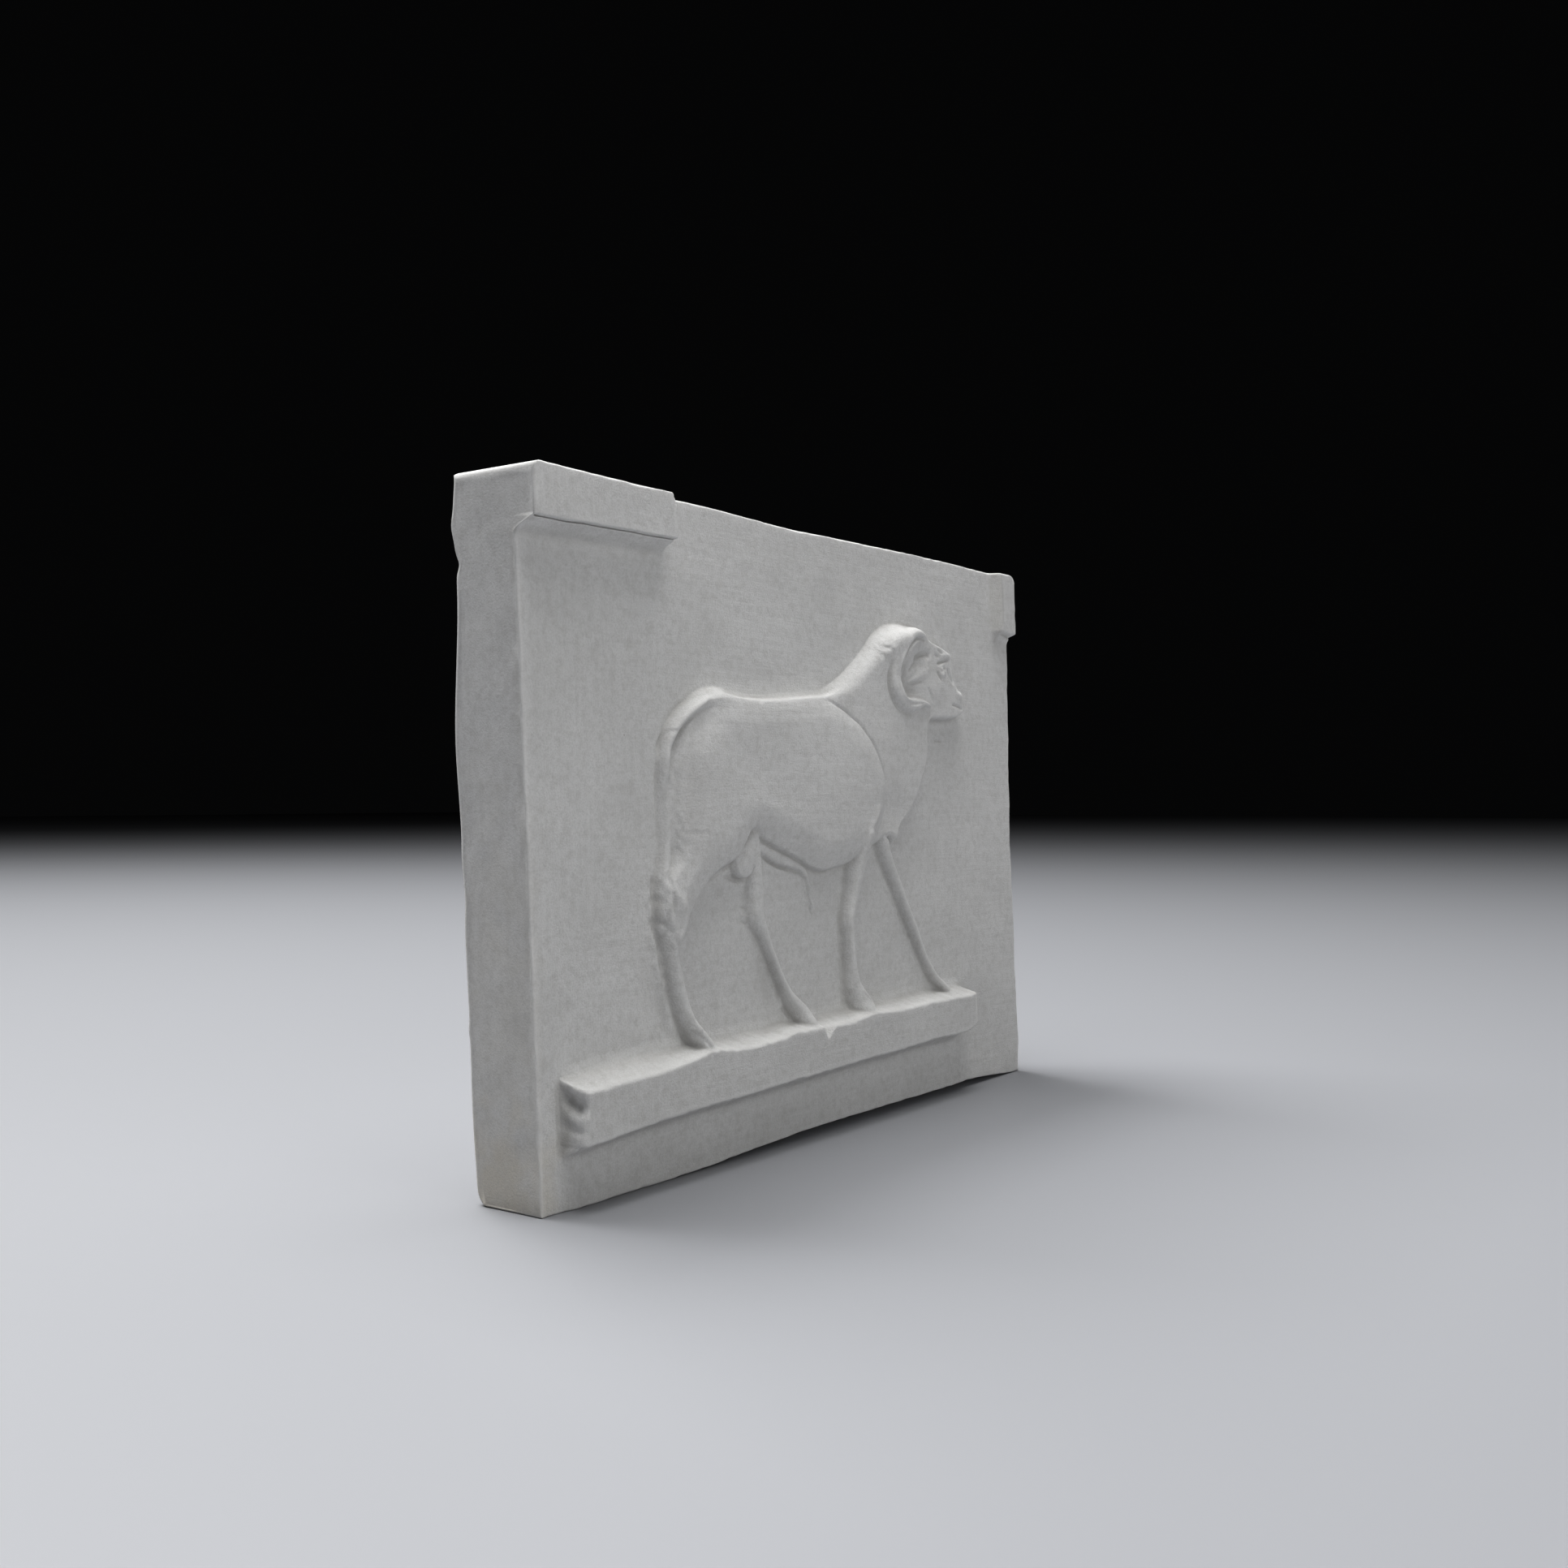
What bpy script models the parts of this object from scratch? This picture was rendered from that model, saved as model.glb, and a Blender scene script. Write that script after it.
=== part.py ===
"""Plaster relief plaque: one cast tablet with a striding ram on a ground line.

Lengths are in millimetres, and MM turns them into metres.
X runs along the face, Y into the tablet and Z up.  Relief heights are measured
forward from the flat panel of the face.
"""
import bmesh
import bpy
import numpy as np

MM = 0.001

# Tablet
HALF_FOOT = 90.0          # half width of the face at the foot
LEFT_SPREAD = 1.9         # how far the left edge leans out by the top
RIGHT_SPREAD = 2.6        # how far the right edge leans out in its upper half
RIGHT_BEND = (0.46, 0.89) # shares of the height between which it does so
HEIGHT = 130.8
TOP_RISE = 1.25           # the top edge climbs this much towards the right
RISE_START = -30.0
RISE_LENGTH = 90.0
THICKNESS = 16.2
LEAN = 0.04               # the face falls back this much for each unit of height
WORN_FOOT = 1.6           # the front lower edge is worn up by this much at its middle
WEAR_DEPTH = 0.45         # share of the thickness that the wear reaches
EDGE_ROUND = 1.1
CORNER_ROUND = 1.6

# Blocks in the upper corners
LEFT_BLOCK_END = -53.4
LEFT_BLOCK_FOOT = 121.3
LEFT_BLOCK_CLIMB = 0.026  # the front lower edge climbs this much for each unit to the right
LEFT_BLOCK_HEIGHT = 4.7
LEFT_BLOCK_COVE = 3.2     # height of the hollow underside
BLOCK_LIP = 0.9           # step at the front lower edge
RIGHT_BLOCK_START = 85.2
RIGHT_BLOCK_FOOT = 113.4
RIGHT_BLOCK_HEIGHT = 2.8
RIGHT_BLOCK_COVE = 2.4
RIGHT_BLOCK_FLANK = 2.0

# Ground line: a drafted bar, as lines of (x, z)
GROUND_LEFT = -84.8
GROUND_RIGHT = 59.6
GROUND_HEIGHT = 5.5
LEFT_DRAFT = 0.7
RIGHT_DRAFT = 1.2
UNDERCUT = 2.3            # rise of the underside from the panel to the front edge
GROUND_TOP = [(-86, 24.4), (-20, 24.9), (20, 25.6), (60, 26.5)]
FRONT_TOP = [(-86, 21.4), (-66, 21.7), (-56, 22.6), (-47, 23.5), (-37, 23.0), (-26, 23.2),
             (-17, 23.9), (-6, 23.6), (2, 23.5), (11, 24.3), (26, 24.0), (48, 24.2), (60, 24.1)]
FRONT_FOOT = [(-86, 11.7), (-66, 12.6), (-57, 13.1), (29, 15.1), (48, 15.2), (55, 15.6), (60, 17.6)]
CHIP = (-6.2, 23.9, 2.5, 2.0, 2.2)      # place, half width, reach down and depth of the chipped edge

# Notch broken into the left end of the bar, as (x, distance in front of the panel, z)
NOTCH_MOUTH = -86.5
NOTCH_DEPTH = 2.4
NOTCH_BACK = (0.1, 21.6, 18.4, 16.2)    # distance, upper lip, deepest line, lower lip
NOTCH_FRONT = (4.9, 20.9, 16.8, 14.8)

# Ram: outline of the whole figure
RAM_HEIGHT = 2.8
RAM_ROUND = 2.5           # width of the rounded edge on the body
FACE_ROUND = 1.2          # and on the face
RAM_OUTLINE = [
    (-56.4, 62), (-56.5, 70), (-56.4, 77), (-55.9, 81), (-54, 84.6), (-50.8, 88.6), (-46.4, 92),
    (-41.5, 94.3), (-37.6, 94.9), (-31, 94.3), (-24, 94.2), (-15, 94.9), (-6, 95.8), (1, 96.6),
    (7.6, 99.2), (13.2, 102.6), (19, 106.8), (22.4, 109.8), (26.2, 112.1), (30.4, 113.6), (36, 114),
    (41.6, 113.5), (45, 112.5), (47, 111.3), (51.2, 110.2), (55.4, 108.9), (57.1, 107.3),
    (56.4, 105.9), (56.7, 103), (58.4, 100.4), (60.9, 99.1), (62.2, 97.2), (61.4, 95.9),
    (61.7, 94.8), (60.8, 93.4), (58.6, 92.3), (54, 91.8), (49, 91.5), (45.8, 91), (44.3, 88),
    (44.4, 85), (43.4, 80.6), (41.3, 76.4), (38.8, 72), (35, 67.9), (31, 64.6), (28.4, 61.6),
    (24, 62.4), (19, 61), (14, 59), (9, 57.6), (3, 56.7), (-3, 56.2), (-8, 57.5), (-14, 59.8),
    (-21, 62.6), (-27.6, 65), (-30.6, 62.2), (-33.4, 59.4), (-38.4, 57.6), (-42.8, 55.2),
    (-46.4, 51.9), (-49.6, 47.9), (-52.6, 44), (-55.6, 44.6), (-58.2, 47.6), (-59.2, 51.6),
    (-58.8, 57)]

# Ram: the fleece ends on this line and stands above the neck
FLEECE_HEIGHT = 0.9
FLEECE_REACH = 6.5
FLEECE_LINE = [(-2.6, 94.9), (2.1, 93.3), (6, 92.1), (9.3, 90.6), (12.6, 88.9), (15.9, 86.4),
               (18.5, 83.9), (20.7, 80.6), (22.3, 77.2), (22.8, 74), (22.4, 70.6), (20.8, 67),
               (18.2, 63.6), (15.6, 60.4), (12.6, 56)]
FLEECE_BACK = [(10, 40), (-75, 40), (-75, 110), (-6, 110)]

# Ram: broad swellings as (x, z, reach along x, reach along z, height, turn in degrees)
SWELLINGS = [(3, 74, 20, 15, 0.7, 0), (-42, 70, 10, 18, 0.5, 0), (-24, 78, 4.5, 14, -0.25, 0),
             (33, 110.5, 10, 7, 1.9, 0), (33, 84, 7, 12, 0.3, 0), (27, 69, 7, 5, -0.7, 0),
             (-31, 68, 6, 5, 0.3, 0)]
HEAD_SWELLINGS = [(51.2, 102.9, 1.3, 0.9, 0.75, 20), (59.4, 98.1, 1.4, 0.9, 0.5, -35),
                  (47, 98.6, 4, 3.4, 0.3, 0), (40, 105.4, 5, 4.2, -1.4, 25),
                  (34.5, 98.5, 3.4, 3, -0.7, 0)]

# Ram: limbs, tail, folds and horn as (x, z, half width, height) along their middle line
NEAR_HIND_LEG = [(-51.8, 60, 2.6, 2.6), (-53.6, 56, 3.2, 3), (-55.6, 51, 3.5, 3),
                 (-55.7, 46.4, 2.9, 2.8), (-54.4, 41, 1.95, 2.6), (-53.3, 36, 1.65, 2.6),
                 (-52.2, 31.8, 1.8, 2.8), (-51, 28.8, 2.1, 3.5), (-49.2, 26.2, 2.2, 4.6),
                 (-47.6, 24.4, 1.9, 5.6)]
FAR_HIND_LEG = [(-26.9, 64, 2.9, 1.9), (-26.2, 57, 2.5, 1.9), (-25.8, 51.4, 2.3, 1.9),
                (-26, 48, 2.7, 2), (-24.1, 44.5, 1.9, 1.9), (-22.4, 41, 1.4, 1.8),
                (-20.8, 38, 1.25, 1.8), (-18.9, 34.8, 1.15, 1.8), (-16.9, 32, 1.3, 1.9),
                (-15.2, 29.8, 1.7, 2.2), (-13, 27.6, 2.1, 2.6), (-10.6, 25.6, 1.7, 3.2)]
NEAR_FORE_LEG = [(14.2, 64, 4.2, 4.2), (12.6, 60, 3.5, 3.6), (11, 55, 3, 3),
                 (9.2, 50.4, 2.6, 2.6), (7.1, 45.5, 2.2, 2.6), (6.7, 42, 1.9, 2.5),
                 (7, 38, 1.95, 2.5), (7.6, 34.5, 2, 2.5), (8.3, 31.4, 2.3, 2.7),
                 (9.9, 28.5, 2.6, 3.2), (12.6, 26.2, 2.2, 3.9)]
FAR_FORE_LEG = [(22.6, 64, 2.6, 2.8), (24.3, 59.6, 2.15, 2.5), (26.8, 55.5, 2, 2.3),
                (29.4, 51.5, 1.9, 2.2), (32.2, 46.6, 1.6, 2.2), (34.8, 42.3, 1.7, 2.1),
                (37.7, 38.2, 1.25, 2), (40, 34.2, 1.2, 2), (41.9, 31.2, 1.4, 2.2),
                (43.8, 29, 1.6, 2.4), (46, 27.2, 1.6, 2.9)]
TAIL = [(-37.8, 92.6, 1, 3.1), (-43.4, 91.3, 1.5, 3.1), (-48, 88.6, 1.7, 2.9),
        (-51.8, 85.2, 1.6, 2.6), (-54.4, 81.4, 1.3, 2.2), (-55.1, 77, 1.3, 2.1),
        (-55.2, 70, 1.3, 2.1), (-55.2, 64, 1.4, 2.2), (-55.6, 60, 1.9, 2.4),
        (-56.3, 55, 2.4, 2.8), (-56.6, 51, 2.3, 2.8), (-56.4, 47, 1.6, 2.6)]
BELLY_FOLD = [(-27, 63.2, 1.6, 1), (-20, 61, 1.7, 1), (-13, 58.7, 1.6, 0.95),
              (-8.4, 56.6, 1.2, 0.9), (-6.8, 53.5, 0.9, 0.8), (-6.1, 51, 0.8, 0.75),
              (-5.4, 49, 0.65, 0.7)]
GROIN = [(-29.4, 62, 1.3, 2.4), (-30.2, 60, 1.9, 2.6), (-31.2, 57.7, 2.5, 2.9)]
HORN = [(44.6, 111.1, 0.8, 2.9), (41.4, 112, 1.2, 3.9), (37.5, 111.8, 1.6, 4.4),
        (33.8, 110.2, 2, 4.8), (30.6, 107.5, 2.5, 5), (28.6, 104, 2.7, 5), (28, 101, 2.6, 4.9),
        (28.5, 98, 2.5, 4.8), (30.4, 95.7, 2.3, 4.7), (33.6, 94.5, 2, 4.5), (37.2, 94.7, 1.7, 4.3),
        (40.8, 95.3, 1.3, 4.1), (43.7, 94.9, 0.9, 3.9), (46, 94.1, 0.5, 3.5)]
HORN_SECTION = 1.7        # how much of the horn's height is its round section
EAR = [(47.4, 105.4, 1, 2.4), (44.4, 104.2, 2.1, 2.9), (41.2, 102.6, 2.3, 3.3),
       (38, 101.2, 1.7, 3.5), (35, 99.8, 0.5, 3)]
EAR_SECTION = 0.9

# Ram: creases as a middle line, a width and a depth
CREASES = [
    (FLEECE_LINE[:10], 0.4, 0.35),
    ([(-37.2, 91.6), (-40, 90.5), (-43.2, 89.8), (-45.8, 88.8), (-48.2, 87.1), (-50, 85.6),
      (-51.2, 84), (-52, 82), (-52.8, 79.6), (-53.4, 77)], 0.7, 1.1),
    ([(-51.2, 78), (-51, 70), (-51.2, 60)], 1.2, 0.35),
    ([(31.2, 105.2), (32.2, 107), (34.5, 109), (37.6, 110.5), (41.1, 111), (43.6, 110.5)], 0.5, 0.9),
    ([(37.6, 105.4), (40.6, 106.5), (44, 107), (46.5, 106.6)], 1.1, 0.8),
    ([(49.6, 105), (51.5, 105.6), (53.6, 106.1), (55.8, 106.5)], 0.5, 0.9),
    ([(48.6, 103.2), (49.6, 102), (50.6, 100.9)], 0.6, 0.6),
    ([(55.6, 95.5), (58.2, 95.4), (60.4, 94.7), (61.6, 94.2)], 0.5, 0.95)]

# Mesh
COLUMNS = 276
ROWS = 198
RIM_CUTS = 5
KEPT_SHARE = 0.0405       # share of the fine faces that the finished solid keeps


def clear_scene():
    for item in list(bpy.data.objects):
        bpy.data.objects.remove(item, do_unlink=True)


def smooth_line(points, closed, steps=6):
    """Points of a smooth curve through the given ones."""
    knots = np.array(points, float)
    if closed:
        knots = np.vstack([knots[-1], knots, knots[:2]])
    else:
        knots = np.vstack([2 * knots[0] - knots[1], knots, 2 * knots[-1] - knots[-2]])
    t = (np.arange(steps) / steps)[:, None]
    spans = []
    for a, b, c, d in zip(knots, knots[1:], knots[2:], knots[3:]):
        curve = b + 0.5 * t * (c - a + t * (2 * a - 5 * b + 4 * c - d + t * (3 * b - a - 3 * c + d)))
        spans.append(curve)
    if not closed:
        spans.append(knots[-2:-1])
    return np.vstack(spans)


def nearest_on_line(x, z, line, closed=False, reach=6.0):
    """Distance to the line up to reach, the values it carries there, and the points it encloses."""
    low = line[:, :2].min(axis=0) - reach
    high = line[:, :2].max(axis=0) + reach
    close = (x > low[0]) & (x < high[0]) & (z > low[1]) & (z < high[1])
    px = x[close]
    pz = z[close]
    gaps = np.full(px.shape, reach)
    values = np.tile(line[0, 2:], px.shape + (1,))
    inside = np.zeros(px.shape, bool)
    ends = np.roll(line, -1, axis=0) if closed else line[1:]
    for a, b in zip(line, ends):
        run, rise = b[0] - a[0], b[1] - a[1]
        t = np.clip(((px - a[0]) * run + (pz - a[1]) * rise) / (run * run + rise * rise), 0, 1)
        gap = np.hypot(px - a[0] - t * run, pz - a[1] - t * rise)
        closer = gap < gaps
        gaps[closer] = gap[closer]
        values[closer] = a[2:] + t[closer, None] * (b - a)[2:]
        if closed and rise:
            inside ^= ((a[1] > pz) != (b[1] > pz)) & (px < a[0] + run * (pz - a[1]) / rise)
    distance = np.full(x.shape, reach)
    carried = np.ones(x.shape + values.shape[-1:])
    enclosed = np.zeros(x.shape, bool)
    distance[close] = gaps
    carried[close] = values
    enclosed[close] = inside
    return distance, carried, enclosed


def full_round(t):
    """Rises steeply from 0 and levels out at 1."""
    return 1 - (1 - np.clip(t, 0, 1)) ** 2.4


def quarter_round(t):
    t = np.clip(t, 0, 1)
    return np.sqrt(np.clip(2 * t - t * t, 0, 1))


def ease(t):
    """Rises from 0 to 1 with a soft start and a soft end."""
    t = np.clip(t, 0, 1)
    return t * t * (3 - 2 * t)


def inset_from(x, z, outline):
    """Distance in from a closed outline, zero outside it."""
    distance, _, enclosed = nearest_on_line(x, z, smooth_line(outline, True), True, 12.0)
    return np.where(enclosed, distance, 0)


def limb(x, z, path, section=None):
    """Rounded rib along a path; section is the height of its round part."""
    distance, carried, _ = nearest_on_line(x, z, smooth_line(path, False))
    half_width, height = carried[..., 0], carried[..., 1]
    section = height if section is None else section
    arch = 1 - np.clip(distance / half_width, 0, 1) ** 2.4
    return np.where(distance < half_width, height - section + section * arch, 0)


def crease(x, z, path, width, depth):
    """Soft groove along a path, dying out at both ends."""
    share = np.linspace(0, 1, len(path))
    strength = ease(np.minimum(share, 1 - share) * 3.6 + 0.04)
    line = smooth_line(np.column_stack([path, strength]), False, 4)
    distance, carried, _ = nearest_on_line(x, z, line, False, 3 * width)
    return depth * carried[..., 0] * np.exp(-(distance / width) ** 2) * (distance < 3 * width)


def swelling(x, z, at_x, at_z, reach_x, reach_z, height, turn):
    across, along = np.sin(np.radians(turn)), np.cos(np.radians(turn))
    u = ((x - at_x) * along + (z - at_z) * across) / reach_x
    v = ((z - at_z) * along - (x - at_x) * across) / reach_z
    return height * np.exp(-u * u - v * v)


def join(a, b, fillet):
    """Larger of two heights, with a fillet between them."""
    t = np.clip(0.5 + 0.5 * (b - a) / fillet, 0, 1)
    return a + (b - a) * t + fillet * t * (1 - t)


def level_at(x, points):
    """Z of a smooth line at x."""
    line = smooth_line(points, False)
    return np.interp(x, line[:, 0], line[:, 1])


def body_height(x, z):
    """The ram's rounded mass, with the fleece standing above the neck."""
    inset = inset_from(x, z, RAM_OUTLINE)
    edge = RAM_ROUND + (FACE_ROUND - RAM_ROUND) * ease((x - 38) / 9)
    height = RAM_HEIGHT * 0.5 * (full_round(inset / edge) + ease(inset / edge))
    to_line, _, _ = nearest_on_line(x, z, smooth_line(FLEECE_LINE, False), False, FLEECE_REACH)
    _, _, behind = nearest_on_line(x, z, smooth_line(FLEECE_LINE + FLEECE_BACK, True), True)
    fleece = FLEECE_HEIGHT * full_round(to_line / FLEECE_REACH) * ease(inset / 4)
    height = height + np.where(behind, fleece, 0)
    for bulge in SWELLINGS:
        height = height + swelling(x, z, *bulge) * full_round(inset / 3.5)
    return height


def ram_height(x, z):
    """The ram, walking right."""
    height = body_height(x, z)
    legs = np.maximum.reduce([limb(x, z, leg) for leg in
                              (NEAR_HIND_LEG, FAR_HIND_LEG, NEAR_FORE_LEG, FAR_FORE_LEG)])
    for addition in (legs, limb(x, z, TAIL), limb(x, z, BELLY_FOLD), limb(x, z, GROIN)):
        height = join(height, addition, 0.35)
    for bulge in HEAD_SWELLINGS:
        height = height + swelling(x, z, *bulge)
    height = join(height, limb(x, z, EAR, EAR_SECTION), 0.5)
    height = join(height, limb(x, z, HORN, HORN_SECTION), 0.25)
    for line, width, depth in CREASES:
        height = height - crease(x, z, line, width, depth)
    return height


def ground_height(x, z):
    """The bar under the hooves, with its chipped upper edge."""
    front_top = level_at(x, FRONT_TOP)
    from_top = (level_at(x, GROUND_TOP) - z) / (level_at(x, GROUND_TOP) - front_top)
    from_foot = (z - level_at(x, FRONT_FOOT)) / UNDERCUT + 1
    from_ends = np.minimum((x - GROUND_LEFT) / LEFT_DRAFT, (GROUND_RIGHT - x) / RIGHT_DRAFT)
    bar = GROUND_HEIGHT * np.clip(np.minimum(np.minimum(from_top, from_foot), from_ends), 0, 1)
    chip_x, chip_z, half_width, reach, depth = CHIP
    chip = np.clip(1 - np.hypot((x - chip_x) / half_width, (z - chip_z) / reach), 0, 1)
    return np.maximum(bar - depth * chip * (z < front_top + 1), 0)


def block_height(x, z):
    """The two blocks in the upper corners, with hollow undersides."""
    left_foot = LEFT_BLOCK_FOOT + LEFT_BLOCK_CLIMB * (x + HALF_FOOT)
    below = np.clip((z - left_foot) / LEFT_BLOCK_COVE + 1, 0, 1)
    cove = (LEFT_BLOCK_HEIGHT - BLOCK_LIP) * below ** 1.3
    left = np.where(z > left_foot, LEFT_BLOCK_HEIGHT, cove) * full_round((LEFT_BLOCK_END - x) / 0.9)
    right = np.clip((z - RIGHT_BLOCK_FOOT) / RIGHT_BLOCK_COVE + 1, 0, 1) ** 1.8
    right = right * ease((x - RIGHT_BLOCK_START) / RIGHT_BLOCK_FLANK)
    return np.maximum(left, RIGHT_BLOCK_HEIGHT * right)


def face_height(x, z):
    height = join(ram_height(x, z), ground_height(x, z), 0.3)
    return np.maximum(height, block_height(x, z))


def unit_block():
    """Closed block: its front is a grid in X and Y, and Z runs from 0 there to 1 at the back."""
    bm = bmesh.new()
    bmesh.ops.create_grid(bm, x_segments=COLUMNS, y_segments=ROWS, size=0.5)
    grown = bmesh.ops.extrude_face_region(bm, geom=bm.faces[:])
    back = [item for item in grown["geom"] if isinstance(item, bmesh.types.BMVert)]
    bmesh.ops.translate(bm, verts=back, vec=(0, 0, 1))
    rim = [edge for edge in bm.edges if abs(edge.verts[0].co.z - edge.verts[1].co.z) > 0.5]
    bmesh.ops.subdivide_edges(bm, edges=rim, cuts=RIM_CUTS, use_grid_fill=True)
    bmesh.ops.recalc_face_normals(bm, faces=bm.faces[:])
    mesh = bpy.data.meshes.new("relief_plaque")
    bm.to_mesh(mesh)
    bm.free()
    return mesh


def rounded_corners(across, up):
    """Draw the corners of the outline in to a small radius."""
    side = np.sign(across) * (HALF_FOOT - CORNER_ROUND)
    level = np.where(up > HEIGHT / 2, HEIGHT - CORNER_ROUND, CORNER_ROUND)
    p = np.clip((np.abs(across) - HALF_FOOT + CORNER_ROUND) / CORNER_ROUND, 0, 1)
    q = np.clip(np.abs(up - HEIGHT / 2) - HEIGHT / 2 + CORNER_ROUND, 0, None) / CORNER_ROUND
    corner = (p > 0) & (q > 0)
    new_across = side + np.sign(across) * CORNER_ROUND * p * np.sqrt(1 - q * q / 2)
    new_up = level + np.sign(up - HEIGHT / 2) * CORNER_ROUND * q * np.sqrt(1 - p * p / 2)
    return np.where(corner, new_across, across), np.where(corner, new_up, up)


def tablet_points(block):
    """Shape the unit block's points into the tablet."""
    depth = block[:, 2]
    across, up = rounded_corners(block[:, 0] * 2 * HALF_FOOT, (block[:, 1] + 0.5) * HEIGHT)
    share = up / HEIGHT
    bend = np.clip((share - RIGHT_BEND[0]) / (RIGHT_BEND[1] - RIGHT_BEND[0]), 0, 1)
    spread = np.where(across < 0, LEFT_SPREAD * share, RIGHT_SPREAD * bend)
    x = across * (1 + spread / HALF_FOOT)
    wear = WORN_FOOT * ease((x + 62) / 60) * ease((92 - x) / 30)
    wear = wear * (1 - ease(depth / WEAR_DEPTH)) * (1 - share)
    z = up + wear + TOP_RISE * share * ease((x - RISE_START) / RISE_LENGTH)
    edge = np.minimum(HALF_FOOT - np.abs(across), np.minimum(up, HEIGHT - up))
    edge_drop = EDGE_ROUND * (1 - quarter_round(edge / EDGE_ROUND))
    front = depth < 0.01
    relief = np.zeros(len(x))
    relief[front] = face_height(x[front], z[front])
    rim_relief = block_height(x, z) * (1 - depth)
    forward = np.where(front, relief, rim_relief)
    y = LEAN * z - forward + depth * THICKNESS
    y = y + np.where(front, edge_drop, 0) - np.where(depth > 0.99, edge_drop, 0)
    return np.stack([x, y, z], axis=1)


def centre_of(points):
    """Middle of the bounding box in X and Y, with the foot at Z = 0."""
    middle = (points.min(axis=0) + points.max(axis=0)) / 2
    middle[2] = 0
    return middle


def notch_cutter(collection, middle):
    """Wedge for the notch broken into the left end of the bar."""
    bm = bmesh.new()
    rings = []
    for forward, upper, deepest, lower in (NOTCH_BACK, NOTCH_FRONT):
        corners = ((NOTCH_MOUTH, upper), (GROUND_LEFT + NOTCH_DEPTH, deepest), (NOTCH_MOUTH, lower))
        ring = []
        for x, z in corners:
            place = np.array([x, LEAN * z - forward, z]) - middle
            ring.append(bm.verts.new(place * MM))
        rings.append(ring)
    back, front = rings
    bm.faces.new(back)
    bm.faces.new(reversed(front))
    for i in range(3):
        bm.faces.new((back[i], front[i], front[i - 2], back[i - 2]))
    bmesh.ops.recalc_face_normals(bm, faces=bm.faces[:])
    mesh = bpy.data.meshes.new("notch")
    bm.to_mesh(mesh)
    bm.free()
    cutter = bpy.data.objects.new("notch", mesh)
    collection.objects.link(cutter)
    return cutter


def cut_away(body, cutter):
    """Take the cutter's shape out of the body for good."""
    cut = body.modifiers.new("Cut", "BOOLEAN")
    cut.operation = "DIFFERENCE"
    cut.solver = "EXACT"
    cut.object = cutter
    graph = bpy.context.evaluated_depsgraph_get()
    body.data = bpy.data.meshes.new_from_object(body.evaluated_get(graph))
    body.modifiers.remove(cut)
    bpy.data.objects.remove(cutter, do_unlink=True)


def plaster_material():
    material = bpy.data.materials.new("plaster")
    material.use_nodes = True
    shader = material.node_tree.nodes["Principled BSDF"]
    shader.inputs["Base Color"].default_value = (0.62, 0.61, 0.585, 1)
    shader.inputs["Roughness"].default_value = 0.85
    shader.inputs["Metallic"].default_value = 0
    return material


def relief_plaque(collection):
    mesh = unit_block()
    block = np.empty(len(mesh.vertices) * 3)
    mesh.vertices.foreach_get("co", block)
    points = tablet_points(block.reshape(-1, 3))
    middle = centre_of(points)
    mesh.vertices.foreach_set("co", ((points - middle) * MM).ravel())
    mesh.flip_normals()
    mesh.update()
    mesh.materials.append(plaster_material())
    plaque = bpy.data.objects.new("relief_plaque", mesh)
    collection.objects.link(plaque)
    cut_away(plaque, notch_cutter(collection, middle))
    thin = plaque.modifiers.new("Fewer faces", "DECIMATE")
    thin.decimate_type = "COLLAPSE"
    thin.ratio = KEPT_SHARE
    thin.use_collapse_triangulate = True
    return plaque


def main():
    clear_scene()
    collection = bpy.data.collections.new("plaster relief plaque")
    bpy.context.scene.collection.children.link(collection)
    relief_plaque(collection)


main()
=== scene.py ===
"""Plaster relief plaque: the finished surface, the camera, the floor and the light.

The tablet is shaped in millimetres, and MM turns it into metres.  The materials, the camera,
the floor and the lamps are in metres.  X runs along the face, Y into the tablet and Z up.
Relief heights are measured forward from the flat panel.
"""

import math

import bpy
import numpy as np
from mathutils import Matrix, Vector


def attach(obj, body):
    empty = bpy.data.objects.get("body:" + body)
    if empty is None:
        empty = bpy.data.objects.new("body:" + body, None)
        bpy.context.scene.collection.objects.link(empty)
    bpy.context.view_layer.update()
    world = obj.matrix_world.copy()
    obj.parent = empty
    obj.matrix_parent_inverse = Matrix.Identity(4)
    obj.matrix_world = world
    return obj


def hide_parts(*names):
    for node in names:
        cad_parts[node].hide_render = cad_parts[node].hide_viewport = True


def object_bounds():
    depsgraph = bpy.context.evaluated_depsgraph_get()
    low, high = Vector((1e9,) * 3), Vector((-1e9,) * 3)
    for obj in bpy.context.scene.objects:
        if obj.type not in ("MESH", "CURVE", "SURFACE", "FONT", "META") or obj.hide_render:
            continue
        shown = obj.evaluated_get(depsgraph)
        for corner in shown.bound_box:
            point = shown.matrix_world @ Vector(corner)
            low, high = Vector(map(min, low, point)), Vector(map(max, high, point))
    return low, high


MM = 0.001

# Tablet
HALF_FOOT = 90.0          # half width of the face at the foot
LEFT_SPREAD = 1.9         # how far the left edge leans out by the top
RIGHT_SPREAD = 2.6        # how far the right edge leans out in its upper half
RIGHT_BEND = (0.46, 0.89)  # shares of the height between which it does
HEIGHT = 130.8
TOP_RISE = 1.25           # how much higher the top edge is on the right
RISE_START = -30.0
RISE_LENGTH = 90.0
THICKNESS = 16.2
LEAN = 0.04               # the face falls back this much for each unit of height
WORN_FOOT = 1.6           # how far the front of the foot is worn up
WORN_LEFT = (-62, -2)     # the wear starts and is full here, along x
WORN_RIGHT = (92, 62)
WEAR_DEPTH = 0.45         # share of the thickness that is worn
BACK_HOLLOW = 0.25        # depth of the back's unevenness
BACK_GRAIN = 19
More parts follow.
